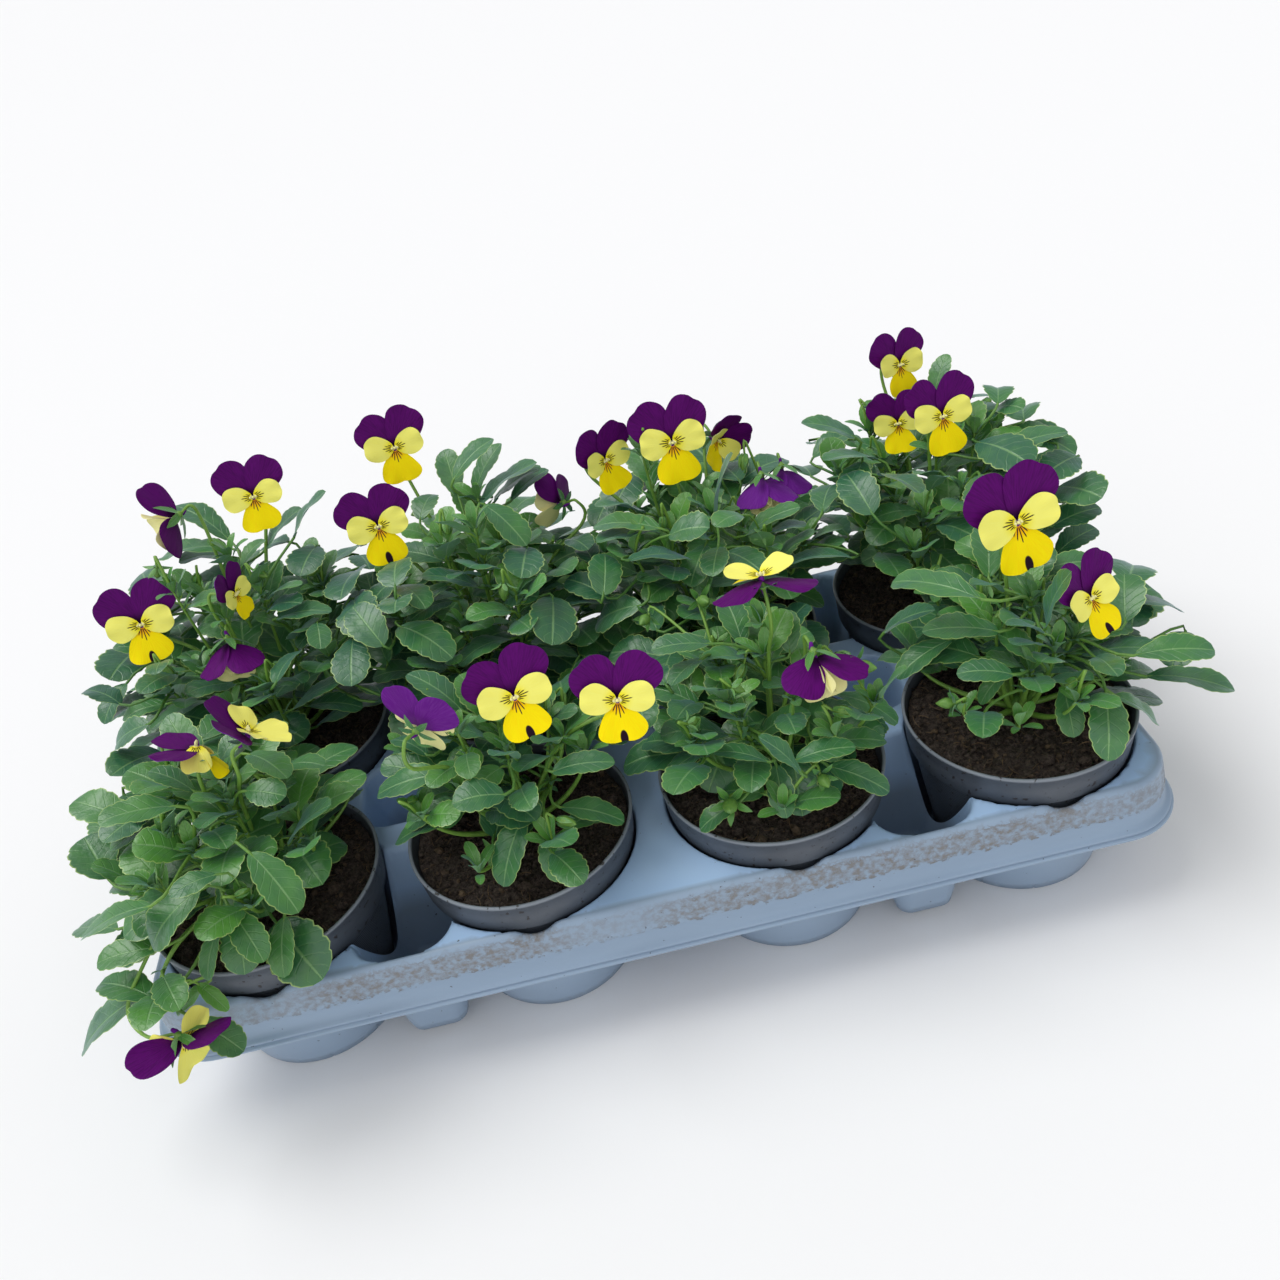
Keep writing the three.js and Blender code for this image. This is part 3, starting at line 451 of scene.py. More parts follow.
# %% Deck points
rim_line, rim_out = rounded_outline(shoulder_half, shoulder_corner, 460)
edge_radius = 3.2
deck_edge = rim_line - edge_radius * rim_out
open_x, open_y = np.meshgrid(np.arange(-270, 271, 6.0), np.arange(-123, 124, 6.0))
deck = np.vstack([*rings, np.stack([open_x.ravel(), open_y.ravel()], -1)])
deck = deck[outline_distance(deck, shoulder_half - edge_radius,
                             shoulder_corner - edge_radius) < -1.2]
off_crease = np.array([np.min(((creases - at) ** 2).sum(-1)) > 1.5 ** 2 for at in deck])
deck = thinned(np.vstack([deck[off_crease], creases]), 0.8)
for middle, *_ in wells:
    deck = deck[np.linalg.norm(deck - middle, axis=1) > drain_radius + 0.8]
drains = [middle + drain_radius * circle[::6] for middle, *_ in wells]
deck = np.vstack([deck_edge, *drains, deck])
print("the deck has", len(deck), "points")

# %% Deck faces
flat_points, _, triangles, *_ = delaunay_2d_cdt(deck.tolist(), [], [], 0, 1e-4)
flat_points, triangles = np.array([tuple(p) for p in flat_points]), np.array(triangles)
middles = flat_points[triangles].mean(axis=1)
solid = np.all([np.linalg.norm(middles - middle, axis=1) > drain_radius - 0.3
                for middle, *_ in wells], axis=0)
triangles = triangles[solid]
heights = tray_height(flat_points)
deck_faces = np.column_stack([triangles, np.full(len(triangles), -1)])
print("the deck has", len(deck_faces), "faces, the lowest at", heights.min(), "mm")

# %% Skirt and sheet
# How far outside the shoulder line, and how high, from the deck down to the lip.
bend = np.radians([68, 45, 22, 0])
skirt_profile = np.array(
    [(edge_radius * (np.cos(a) - 1), deck_z - edge_radius * (1 - np.sin(a))) for a in bend]
    + [(0.6, 77.5), (1.2, 74), (1.8, 70.5), (2.3, 67.6), (2.5, 66.2), (2.4, 65.2), (2.2, 63.5),
       (2.2, 61), (2.5, 58.8), (3.3, 57.3), (4.7, 56.3), (5.9, 55.9), (6.6, 55.4), (6.7, 54.8),
       (6.1, 54.3), (5.7, 53.9), (6.2, 53.5), (7.3, 53.3), (8.0, 52.8), (8.0, 52.1), (7.4, 51.6),
       (6.6, 51.5)])
count = len(deck_edge)
dip = deck_z - heights[:count]
fade = np.clip((skirt_profile[:, 1] - 72) / 10, 0, 1)
around = rim_line[None] + skirt_profile[:, :1, None] * rim_out[None]
skirt_z = skirt_profile[:, 1:] - fade[:, None] * dip[None]
skirt = np.concatenate([around, skirt_z[..., None]], -1).reshape(-1, 3)
points = np.vstack([np.column_stack([flat_points, heights]), skirt])
index = np.vstack([np.arange(count)[None],
                   len(flat_points) + np.arange(len(skirt)).reshape(-1, count)])
skirt_faces = round_skin(index, flip=True)
on_skirt = np.concatenate([np.zeros(len(flat_points)), np.ones(len(skirt))])
on_skirt[:count] = 1
tray_form = shape(points, np.vstack([deck_faces, skirt_faces]), mark=on_skirt)
print("the sheet has", len(deck_faces) + len(skirt_faces), "faces")

# %% [markdown]
# ### Its finish
# Such trays are vacuum formed from polystyrene sheet, which comes out satin and pale
# blue-grey. What tells the eye that it has been used is the dirt: a dried grey-brown
# smear with fine ridges on the upper half of the skirt, where the tray slides along
# benches, and dark specks of compost on the deck.

# %% Tray finish: sheet, painted shade and painted lip highlight
formed_sheet, tree, shader = finish("formed_polystyrene_sheet", IOR=1.5)
place = add(tree, "TexCoord", out=object_place)
height = add(tree, "SeparateXYZ", {0: place}, out=2)
skirt_mark = add(tree, "Attribute", out=attribute_value, attribute_name="mark")
sheet_tone = blend(tree, noise(tree, place, 22, 4), "#9dbfe6", "#b6d3f2")
# Painted shade: the skirt is greyed, and so is what lies under its lip, more so towards the bottom.
low = remap(tree, height, 0.040, 0.056, 0.75, 0.0)
painted_shade = maths(tree, "MAXIMUM", product(tree, skirt_mark, 0.75), low)
sheet_tone = blend(tree, painted_shade, sheet_tone, "#8494a5")
# A painted highlight: the rolled lip is drawn as a pale line.
lip_highlight = product(tree, remap(tree, height, 0.0514, 0.0524, 0.75, 0.0), skirt_mark)
sheet_tone = blend(tree, lip_highlight, sheet_tone, "#dbe6ec")
print("the clean sheet takes", len(tree.nodes), "nodes")

# %% Tray finish: dried mud and specks
# The mud is a wide band on the skirt whose edges wander by a few millimetres.
stretch = add(tree, "Mapping", {"Vector": place, "Scale": (120, 120, 150)})
smear = noise(tree, stretch, 2.2, 6, Roughness=0.62)
band_z = maths(tree, "ADD", height, maths(tree, "MULTIPLY_ADD", smear, 0.016, -0.008))
band_low = remap(tree, band_z, 0.0655, 0.0672, smooth=True)
band_high = remap(tree, band_z, 0.0800, 0.0815, 1.0, 0.0, smooth=True)
patchy = remap(tree, smear, 0.40, 0.62, 0.10, 0.66)
worn = remap(tree, noise(tree, place, 9, 2), 0.38, 0.60, 0.30, 1.25)
mud = product(tree, band_low, band_high, patchy, worn, skirt_mark)
muddy = blend(tree, mud, sheet_tone, "#7d766d")
# Compost specks, drawn about 1 mm wide so that they show.
specks = remap(tree, noise(tree, place, 420, 2), 0.735, 0.76, 0.0, 0.8)
tree.links.new(remap(tree, mud, 0.0, 1.0, 0.36, 0.85), shader.inputs["Roughness"])
ridges = product(tree, noise(tree, stretch, 9, 3), mud)
dress(tree, shader, blend(tree, specks, muddy, "#3c3a38"), ridges, 0.6, 0.0012)

# %% Tray piece
tray_piece = make_piece("carry_tray", tray_form, [formed_sheet], ["tray"])
thickness = tray_piece.modifiers.new("sheet_thickness", "SOLIDIFY")
thickness.thickness = sheet / 1000
thickness.offset = -1

# %% [markdown]
# ## The pots
# A nursery pot is moulded in one shot, round and thin, with a smooth collar that stacks
# on the next pot and fine ribs below it. It is a profile turned about an axis. Both ends
# of the profile lie on the axis, where one shared point closes the surface.

# %% Turned shapes
pot_profile = [                                    # radius and height, up the outside first
    (0, 2), (30, 2), (41.6, 2), (42.7, 2.5), (43.1, 3.6), (50.4, 42), (57.3, 79.4), (57.6, 80.6),
    (58.6, 81), (59.8, 81.1), (60.2, 81.7), (61.1, 91), (61.7, 98.6), (62.1, 98.9), (62.3, 99.5),
    (62.3, 100.4), (62.0, 100.9), (61.5, 101), (60.8, 100.9), (60.5, 100.4), (60.3, 98.5),
    (56.2, 79.6), (49.0, 42), (41.7, 4.2), (40.9, 3.4), (0, 3.4)]
print("a pot is", 2 * max(radius for radius, _ in pot_profile), "mm wide")


def turned(profile, segments, lift=None):
    """A profile turned about the z axis: radius and height go round a full circle. The
    first and the last point lie on the axis. lift may add a height to each ring point."""
    inner = np.array(profile[1:-1], float)
    angle = np.linspace(0, 2 * np.pi, segments + 1)[:-1]
    radius, level = inner[:, 0], np.repeat(inner[:, 1:], segments, axis=1)
    ring = np.stack([np.outer(radius, np.cos(angle)), np.outer(radius, np.sin(angle)), level], -1)
    if lift is not None:
        ring[..., 2] += lift(ring)
    points = np.vstack([ring.reshape(-1, 3), [(0, 0, profile[0][1]), (0, 0, profile[-1][1])]])
    index = np.arange(ring.shape[0] * segments).reshape(-1, segments)
    return points, round_skin(index, len(points) - 2, len(points) - 1)


# %% Pot finish
# Recycled polypropylene, injection moulded: slate grey and a little dull, paler along the
# top of the rim, ribs 1.6 mm apart on the body, and crumbs of compost stuck on.
pot_plastic, tree, shader = finish("moulded_slate_polypropylene", IOR=1.49, Roughness=0.46)
place = add(tree, "TexCoord", out=object_place)
height = add(tree, "SeparateXYZ", {0: place}, out=2)
tone = blend(tree, noise(tree, place, 45, 5, Roughness=0.6), "#3d434b", "#59606a")
# The top of the rim is painted paler.
pale_rim_top = remap(tree, height, 0.0992, 0.1003, 0.0, 0.55)
tone = blend(tree, pale_rim_top, tone, "#9aa3ad")
stuck = remap(tree, noise(tree, place, 330, 2), 0.66, 0.69, 0.0, 0.85)
tone = blend(tree, stuck, tone, "#2a211b")
rib = maths(tree, "PINGPONG", height, 0.0008)
below = maths(tree, "LESS_THAN", height, 0.0795)
rib = product(tree, rib, below, 1000.0)
dress(tree, shader, tone, maths(tree, "ADD", stuck, rib), 0.7, 0.0005)

# %% Pot pieces
pot_points, pot_faces = turned(pot_profile, 128)
for name, centre in zip(pot_names, pot_centres):
    make_piece("nursery_pot_" + name, shape(pot_points + [*centre, 0], pot_faces), [pot_plastic],
               ["pot_" + name])

# %% [markdown]
# ## The compost
# Peat-based compost is a dark crumbly mass with pale fibres and a few bits of bark. Its
# top is a turned disc whose rings are lifted by a sum of many small waves, which looks
# like noise but is worked out for all points at once. Loose crumbs and fibres lie on it.

# %% Chance


def dice(seed):
    """Draws numbers by the same rule as the part's source, so that leaves fall in the
    same places: state times 1664525 plus 1013904223, kept to 32 bits."""
    state = [seed]

    def draw(low=0.0, high=1.0):
        state[0] = (state[0] * 1664525 + 1013904223) % 4294967296
        return low + (high - low) * state[0] / 4294967296
    return draw


print("the first draw of seed 40 is", round(dice(40)(), 4))

# %% Waves


def waves(places, chance, shortest, longest, count=28):
    """A rough value between about -1 and 1 at each place: the mean of sine waves of many
    directions, lengths and phases, times two."""
    length = np.exp(chance.uniform(np.log(shortest), np.log(longest), count))
    heading = unit(chance.normal(size=(count, places.shape[-1]))) * (2 * np.pi / length)[:, None]
    phase = chance.uniform(0, 2 * np.pi, count)
    return 2 * np.sin(places @ heading.T + phase).mean(axis=-1) * np.sqrt(count) / 3


sea = waves(np.mgrid[0:60, 0:60].reshape(2, -1).T, np.random.default_rng(0), 3, 8)
print("waves run from", sea.min().round(2), "to", sea.max().round(2))

# %% Crumbs
# A crumb starts as an icosahedron: twelve corners, and faces where three of them are close.
golden = (1 + 5 ** 0.5) / 2
lump_points = unit(np.array([(0, a, b * golden) for a in (-1, 1) for b in (-1, 1)]
                            + [(a, b * golden, 0) for a in (-1, 1) for b in (-1, 1)]
                            + [(b * golden, 0, a) for a in (-1, 1) for b in (-1, 1)]))
gaps = np.linalg.norm(lump_points[:, None] - lump_points[None], axis=-1)
near = gaps < gaps[gaps > 0.1].min() + 0.05
lump_faces = np.array([(a, b, c) if np.linalg.det(lump_points[[a, b, c]]) > 0 else (a, c, b)
                       for a in range(12) for b in range(a + 1, 12) for c in range(b + 1, 12)
                       if near[a, b] and near[b, c] and near[a, c]])
print("a crumb has", len(lump_faces), "faces")


def crumbs(places, sizes, chance):
    """Lumps of twenty faces: a round lump whose corners are pushed in or out and which is
    squeezed differently along each axis, one at each place."""
    push = chance.uniform(0.7, 1.25, (len(places), 12, 1))
    squeeze = chance.uniform(0.6, 1.3, (len(places), 1, 3))
    points = places[:, None] + sizes[:, None, None] * push * squeeze * lump_points[None]
    starts = 12 * np.arange(len(places))[:, None, None]
    faces = (lump_faces[None] + starts).reshape(-1, 3)
    return points.reshape(-1, 3), np.column_stack([faces, np.full(len(faces), -1)])


# %% Tubes


def tube(path, radii, sides=6, part=0, mark=0.0):
    """A tube along a path: a ring of points round each path point, square to the path,
    closed by a point at each end. The rings keep level with the plane the path bends in."""
    along = unit(np.gradient(path, axis=0))
    across = np.cross(path[-1] - path[0], (0.0, 0.0, 1.0))
    across = across if np.linalg.norm(across) > 0.5 else np.array([1.0, 0.0, 0.0])
    side = unit(across - along * (along @ across)[:, None])
    other = np.cross(along, side)
    angle = np.linspace(0, 2 * np.pi, sides + 1)[:-1][None, :, None]
    radii = np.broadcast_to(radii, len(path))[:, None, None]
    ring = path[:, None] + radii * (np.cos(angle) * side[:, None] + np.sin(angle) * other[:, None])
    ends = np.array([path[0] - along[0] * radii[0, 0] * 0.5,
                     path[-1] + along[-1] * radii[-1, 0] * 0.6])
    points = np.vstack([ring.reshape(-1, 3), ends])
    faces = round_skin(np.arange(len(path) * sides).reshape(-1, sides),
                       len(points) - 2, len(points) - 1)
    return shape(points, faces, part=part, mark=mark)


# %% Compost finish
# Peat with a little bark: nearly black brown, rough and matt, its fibres a warm brown.
peat, tree, shader = finish("peat_compost", Roughness=0.95, Specular_IOR_Level=0.25)
place = add(tree, "TexCoord", out=object_place)
pale_mark = add(tree, "Attribute", out=attribute_value, attribute_name="mark")
clumps = remap(tree, noise(tree, place, 420, 5, Roughness=0.75), 0.36, 0.72)
tone = blend(tree, clumps, "#2b2522", "#83756b")
strands = add(tree, "Mapping", {"Vector": place, "Scale": (400, 900, 500),
                                "Rotation": (0.3, 0.2, 0.7)})
strands = remap(tree, noise(tree, strands, 1.0, 3, Distortion=1.5), 0.62, 0.68, 0.0, 0.6)
tone = blend(tree, strands, tone, "#957762")
dress(tree, shader, blend(tree, pale_mark, tone, "#a58a68"), clumps, 1.0, 0.0025)

# %% Crumbs and fibres of one pot
soil_z = 94.0
crumb_count, fibre_count = 1100, 190
soil_rings = ([(0, 3.9), (30, 3.9), (41.2, 3.9), (50, 50), (57, 87), (58.6, soil_z - 0.6)]
              + [(r, soil_z + 0.6 - 0.8 * (r / 58) ** 6) for r in np.linspace(57.8, 1.2, 56)]
              + [(0, soil_z + 0.6)])
print("the compost is", soil_z + 0.6, "mm up in the middle")


def rough_top(ring, chance):
    """Clumps a few millimetres wide on the top, none on the sides or underneath."""
    top = np.clip((ring[..., 2] - 92) / 1.5, 0, 1)
    return top * (1.3 * waves(ring[..., :2], chance, 3, 8)
                  + 0.9 * waves(ring[..., :2], chance, 12, 40))


def litter(chance):
    """Crumbs, some of them pale, and bent fibres, spread evenly over a round top: the
    distance from the middle is the root of an even draw."""
    spread = np.sqrt(chance.uniform(0, 1, crumb_count)) * 56.5
    bearing = chance.uniform(0, 2 * np.pi, crumb_count)
    height = soil_z + chance.uniform(0.2, 2.2, crumb_count)
    spots = np.stack([spread * np.cos(bearing), spread * np.sin(bearing), height], -1)
    sizes = np.exp(chance.normal(-0.15, 0.6, crumb_count))
    points, faces = crumbs(spots, sizes, chance)
    pale = np.where(chance.uniform(0, 1, crumb_count) > 0.5,
                    chance.uniform(0.05, 0.7, crumb_count) ** 2, 0.0)
    shapes = [shape(points, faces, mark=np.repeat(pale, 12))]
    leans, lengths = chance.uniform(-1, 1, fibre_count), chance.uniform(1.2, 5, fibre_count)
    for spot, turn, lean, size in zip(spots, bearing[::-1] * 3, leans, lengths):
        heading = size * np.array([np.cos(turn), np.sin(turn), 0.25 * lean])
        bend = np.array([-np.sin(turn), np.cos(turn), 0.3]) * size * 0.25 * lean
        path = (spot + [0, 0, 0.9] + np.outer([-1, -0.35, 0.35, 1], heading)
                + np.outer([0, 1, 1, 0], bend))
        shapes.append(tube(path, 0.2 + 0.1 * abs(lean), 3, mark=0.15 + 0.5 * abs(lean)))
    return shapes


# %% Compost pieces
for number, (name, centre) in enumerate(zip(pot_names, pot_centres)):
    chance = np.random.default_rng(300 + number)
    body = shape(*turned(soil_rings, 180, lambda ring: rough_top(ring, chance)))
    form = join([body, *litter(chance)])
    form["points"] = form["points"] + [*centre, 0]
    make_piece("compost_" + name, form, [peat], ["soil_" + name])

# %% [markdown]
# ## Leaves
# A pansy's leaf is a spoon shaped blade on a stalk, with a few blunt teeth on each side.
# Its blade is a closed lens: an upper grid, an underside that shares its edges, and a
# point at each end. The half width follows u to a power times (1 - u) to a power, which
# is narrow at the stalk and widest beyond the middle.

# %% A leaf's frame
up = np.array([0.0, 0.0, 1.0])


def leaf_axes(base, tip, roll=0.0):
    """Along the blade, across it, and out of its upper face, turned about along by roll."""
    along = unit(tip - base)
    facing = up - 0.5 * unit(along * [1, 1, 0])
    side = unit(np.cross(along, facing))
    side = side * np.cos(roll) + np.cross(along, side) * np.sin(roll)
    return along, side, np.cross(side, along)


def rib_line(leaf, u):
    """The midrib: straight from base to tip, bowed towards the face by 4 bow u (1 - u)."""
    u = np.asarray(u, float)[..., None]
    straight = leaf["base"] + (leaf["tip"] - leaf["base"]) * u
    return straight + leaf["axes"][2] * 4 * leaf["bow"] * u * (1 - u)


def new_leaf(base, tip, root, width, bow, fold, roll, age=0.3):
    """A leaf's numbers in one dictionary, with its axes and its length."""
    return {"base": base, "tip": tip, "root": root, "width": width, "bow": bow, "fold": fold,
            "axes": leaf_axes(base, tip, roll), "length": np.linalg.norm(tip - base), "age": age}


sample = new_leaf(0 * up, np.array([30.0, 0.0, 10.0]), -10 * up, 16, 2, 0.1, 0.0)
print("a sample leaf is", sample["length"].round(1), "mm long")

# %% Blades


def blade(leaf, teeth, columns, phase=0.0, wave=0.0, swell=(0.9, 0.42), thick=0.5):
    """The half width is (u/m)^p ((1-u)/(1-m))^q with its widest place m = p/(p+q), pinched
    between round teeth, three rows to a tooth. The edges rise by fold times the half width
    and by a wave, and each half of the blade is a little domed."""
    _, side, face = leaf["axes"]
    notches = np.linspace(0.26, 0.96, teeth + 1)
    toothed = (notches[:-1, None] + np.array([0, 0.2, 0.65]) * (notches[1] - notches[0])).ravel()
    u = np.concatenate([[0.05, 0.15], toothed, [0.975]])
    swing = np.concatenate([[1, 1], np.tile([0.925, 1.005, 1.035], teeth), [1.0]])
    p, q = swell
    m = p / (p + q)
    half = leaf["width"] / 2 * (u / m) ** p * ((1 - u) / (1 - m)) ** q * swing
    s = np.linspace(-1, 1, columns)[None]
    ripple = np.sin(6.3 * 1.7 * u[:, None] + phase + 1.9 * np.sign(s))
    edge = leaf["fold"] * half[:, None] + wave * ripple
    dome = 0.07 * half[:, None] * 4 * np.abs(s) * (1 - np.abs(s))
    lift = np.abs(s) * edge + dome
    rib = rib_line(leaf, u)
    top = rib[:, None] + side * (s * half[:, None])[..., None] + face * lift[..., None]
    under = rib - face * (thick * (1.1 - u))[:, None]
    points = np.vstack([top.reshape(-1, 3), under, [leaf["base"], leaf["tip"]]])
    rows = len(u)
    index = np.arange(rows * columns).reshape(rows, columns)
    below = np.column_stack([index[:, 0], rows * columns + np.arange(rows), index[:, -1]])
    ends = len(points) - 2, len(points) - 1
    upper, lower = skin(index, *ends), skin(below, *ends, flip=True)
    flat = np.stack(np.broadcast_arrays(0.5 + 0.5 * s, u[:, None]), -1).reshape(-1, 2)
    flat = np.vstack([flat, np.column_stack([0 * u + 0.5, u]), [(0.5, 0), (0.5, 1)]])
    part = np.repeat([0, 1], [len(upper), len(lower)])
    return shape(points, np.vstack([upper, lower]), flat, part, leaf["age"])


print("the blade of the sample has", len(blade(sample, 4, 5)["faces"]), "faces")

# %% Leaf stalks
stem_part = 2                                      # after a leaf's upper face and its underside


def leaf_stalk(leaf, radius=0.95):
    """A curved stalk from the stem to the blade: a cubic Bezier curve that leaves the stem
    upwards and meets the blade along its rib, under which it ends."""
    root, base, along = leaf["root"], leaf["base"], leaf["axes"][0]
    far = np.linalg.norm(base - root)
    out = unit(0.6 * unit(base - root) + 0.4 * up)
    t = np.linspace(0, 1, 6)[:, None]
    path = ((1 - t) ** 3 * root + 3 * t * (1 - t) ** 2 * (root + 0.35 * far * out)
            + 3 * t ** 2 * (1 - t) * (base - 0.35 * far * along) + t ** 3 * base)
    under = rib_line(leaf, np.array([0.12])) - 0.5 * leaf["axes"][2]
    path = np.vstack([path, under])
    radii = radius * np.array([1.15, 1, 0.95, 0.9, 0.9, 0.9, 0.45])
    return tube(path, radii, 5, stem_part, leaf["age"])


print("the stalk of the sample has", len(leaf_stalk(sample)["faces"]), "faces")

# %% [markdown]
# ### Where the leaves grow
# The CAD plants were grown by a rule: four stems, some leaves given one by one, and more in
# a golden-angle spiral that are kept when they are clear of the pots, of the blooms and
# of each other. The same rule and the same draws are used here, so that each CAD leaf
# keeps its place. Then shoots with many finer leaves fill the plant.

# %% Blooms
blooms = [  # pot, place from its middle, azimuth, tilt, spin, closing, size
    ("b1", (-18, 20, 249), -70, -25, 30, 25, 0.85), ("b1", (27, 30, 247), 5, 20, 0, 6, 0.84),
    ("b1", (-50, -10, 203), 5, 20, 0, 6, 0.94), ("b1", (14, -30, 220), 75, 5, 0, 10, 0.62),
    ("b1", (0, -34, 190), 0, -55, 180, 50, 0.8), ("b2", (-29, 45, 251), 8, 20, 0, 6, 0.86),
    ("b2", (-46, 5, 223), 5, 20, 0, 6, 0.9), ("b2", (58, 34, 197), 200, 0, 15, 20, 0.72),
    ("b3", (-50, 14, 228), 35, 10, 0, 15, 0.84), ("b3", (-10, 5, 234), 5, 20, 0, 6, 0.98),
    ("b3", (22, 40, 212), 80, 0, 0, 12, 0.8), ("b3", (40, 4, 196), 0, -60, 180, 50, 0.8),
    ("b3", (57, 24, 188), 20, -65, 180, 58, 0.72), ("a3", (8, 2, 219), 180, 50, 180, 8, 0.92),
    ("a3", (24, -30, 186), 10, -60, 180, 50, 0.86), ("b4", (-3, 38, 235), 20, 15, 5, 6, 0.8),
    ("b4", (-13, 14, 209), -25, 15, -10, 8, 0.72), ("b4", (2, -18, 224), 8, 20, 0, 6, 0.88),
    ("a4", (-4, 0, 218), 5, 20, -6, 6, 1.06), ("a4", (30, -14, 172), 28, 30, 0, 8, 0.86),
    ("a2", (19, -20, 198), 5, 22, -8, 6, 0.9), ("a2", (67, -26, 187), -5, 22, 3, 6, 0.9),
    ("a2", (-28, -20, 195), 150, 5, -15, 8, 0.84), ("a1", (4, -6, 202), -120, 60, 0, 14, 0.8),
    ("a1", (32, -12, 208), 110, 45, 0, 16, 0.82), ("a1", (-34, -92, 88), 33, -74, 0, 14, 0.86)]
print("there are", len(blooms), "blooms")

# %% Leaves given one by one
showy_leaves = {  # bearing, reach and height of the tip, blade length, heading, rise
    "a1": [(-134, 88, 150, 38, 180, -10), (-144, 88, 120, 34, 180, 0),
           (-147, 92, 104, 36, 150, 0), (-148, 116, 66, 48, -172, -24),
           (-61, 82, 142, 38, -53, -22), (-78, 80, 122, 32, -60, -14),
           (-75, 79, 106, 30, -95, -14), (-102, 74, 112, 24, -112, -14),
           (-25, 66, 165, 40, -12, 25), (-132, 56, 198, 34, -160, 10),
           (165, 84, 165, 42, 150, 10), (120, 50, 190, 36, 120, 20)],
    "a2": [(-168, 64, 152, 42, 170, -8), (-163, 65, 122, 34, 174, -10),
           (-100, 56, 110, 38, -125, -22), (-72, 60, 106, 28, -85, -18),
           (-34, 68, 114, 34, -17, -12), (-30, 68, 155, 32, -7, 0),
           (-45, 50, 200, 44, -21, 36), (140, 48, 190, 36, 140, 16), (60, 44, 175, 34, 50, 10)],
    "a3": [(-53, 78, 120, 32, -30, -12), (-39, 68, 135, 32, -6, -5), (-60, 66, 150, 30, -9, 4),
           (-132, 50, 150, 28, 156, 5), (-103, 60, 160, 26, 152, 18),
           (-135, 68, 110, 26, -177, -12),
           (177, 52, 190, 30, 179, 4), (5, 58, 176, 34, 30, -4), (-95, 62, 118, 28, -95, -14),
           (100, 40, 188, 32, 95, 14)],
    "a4": [(168, 65, 190, 50, 130, -5), (-178, 54, 166, 38, 158, 0), (-179, 68, 138, 36, -171, -14),
           (-81, 50, 114, 28, -100, -16), (-148, 34, 122, 24, -160, -14), (-34, 78, 176, 48, -5, 6),
           (-36, 72, 200, 28, -16, 8), (-32, 92, 150, 38, -15, 0), (-32, 104, 126, 42, -30, -4),
           (-72, 32, 204, 34, -20, 34), (-42, 72, 108, 30, -20, -20), (90, 46, 190, 36, 70, 12)],
    "b1": [(42, 64, 232, 34, 14, 18), (115, 74, 236, 46, 139, 18), (134, 68, 212, 48, 164, -4),
           (-176, 78, 156, 46, 164, -14), (-174, 98, 150, 44, 171, -8), (90, 70, 190, 40, 90, -4),
           (-20, 62, 190, 34, -10, 0), (160, 88, 180, 40, 165, -8)],
    "b2": [(92, 52, 240, 32, 97, 22), (52, 54, 240, 34, 30, 22), (23, 58, 228, 40, -14, 20),
           (154, 50, 200, 34, 150, 4), (-140, 56, 185, 34, -150, -4), (100, 92, 170, 42, 95, -10),
           (60, 84, 185, 38, 62, -4)],
    "b3": [(-56, 34, 236, 52, -20, 50), (20, 48, 222, 40, 40, 30), (-171, 66, 200, 42, 152, 0),
           (176, 66, 212, 42, 143, 12), (-36, 64, 198, 36, -10, 14), (-110, 58, 178, 34, -120, -8),
           (95, 90, 170, 42, 92, -10), (60, 80, 190, 38, 60, -2)],
    "b4": [(139, 68, 228, 32, 145, 12), (127, 58, 240, 36, 123, 26), (50, 36, 240, 26, 40, 20),
           (-30, 78, 208, 42, -16, 12), (160, 60, 134, 40, 142, -16), (-60, 60, 180, 36, -50, -4),
           (10, 94, 175, 42, 5, -8), (60, 88, 180, 40, 60, -6), (100, 86, 160, 38, 100, -12)]}
print("there are", sum(map(len, showy_leaves.values())), "leaves placed by hand")

# %% Nodding blooms
# Closed and hanging blooms hold their petals at angles of their own: facing as azimuth,
# tilt and spin, then for the upper, the side and the lower petals the angle from the top,
# the closing angle and the roll.
nodding = {"upper": (64, 46, -24), "side": (70, 78, 0), "lower": (180, 80, 0)}
draped = {"upper": (64, 36, -50), "upper_right": (66, 30, -26), "side": (70, 78, 0),
          "lower": (180, 80, 0)}
reflexed = {"upper": (74, -14, 14), "side": (100, 20, 30), "lower": (180, 2, 0)}
hanging = {"upper": (58, -15, -34), "upper_right": (62, 8, 8), "side": (116, -20, 66),
           "lower": (225, 60, 0)}
folded = {"upper": (68, 8, -30), "upper_right": (66, 26, 6), "side": (80, 48, 0),
          "lower": (180, 54, 0)}
tossed = {"upper": (44, 8, 0), "side": (88, -35, 0), "lower": (180, -45, 0)}
cupped = {"upper": (40, 22, 0), "side": (86, 30, 0), "lower": (180, 34, 0)}
special_poses = {  # the bloom's number in the list, where it faces, and its petals
    0: ((-77, -20, 46), folded), 4: ((0, -57, 0), nodding), 7: ((-130, -6, -34), cupped),
    10: ((24, -15, 57), cupped), 11: ((0, -57, 0), nodding), 12: ((0, -62, 0), nodding),
    13: ((180, 55, 0), reflexed), 14: ((10, -56, 0), draped), 23: ((148, 66, 51), tossed),
    25: ((51, -66, -35), hanging)}
hanging_shift = (4, 0, 8)                          # the hanging bloom, off its plain solid
print(len(special_poses), "blooms hold their petals in a way of their own")

# %% Where a bloom faces


def bloom_axes(azimuth, tilt, spin):
    """The way a face looks, its right and its top: azimuth turns it from the front, tilt
    lifts it, and spin turns it about its own axis."""
    a, t, turn = np.radians([azimuth, tilt, spin])
    facing = np.array([np.sin(a) * np.cos(t), -np.cos(a) * np.cos(t), np.sin(t)])
    level = np.array([np.cos(a), np.sin(a), 0.0])
    right = level * np.cos(turn) - np.cross(facing, level) * np.sin(turn)
    return facing, right, np.cross(facing, right)


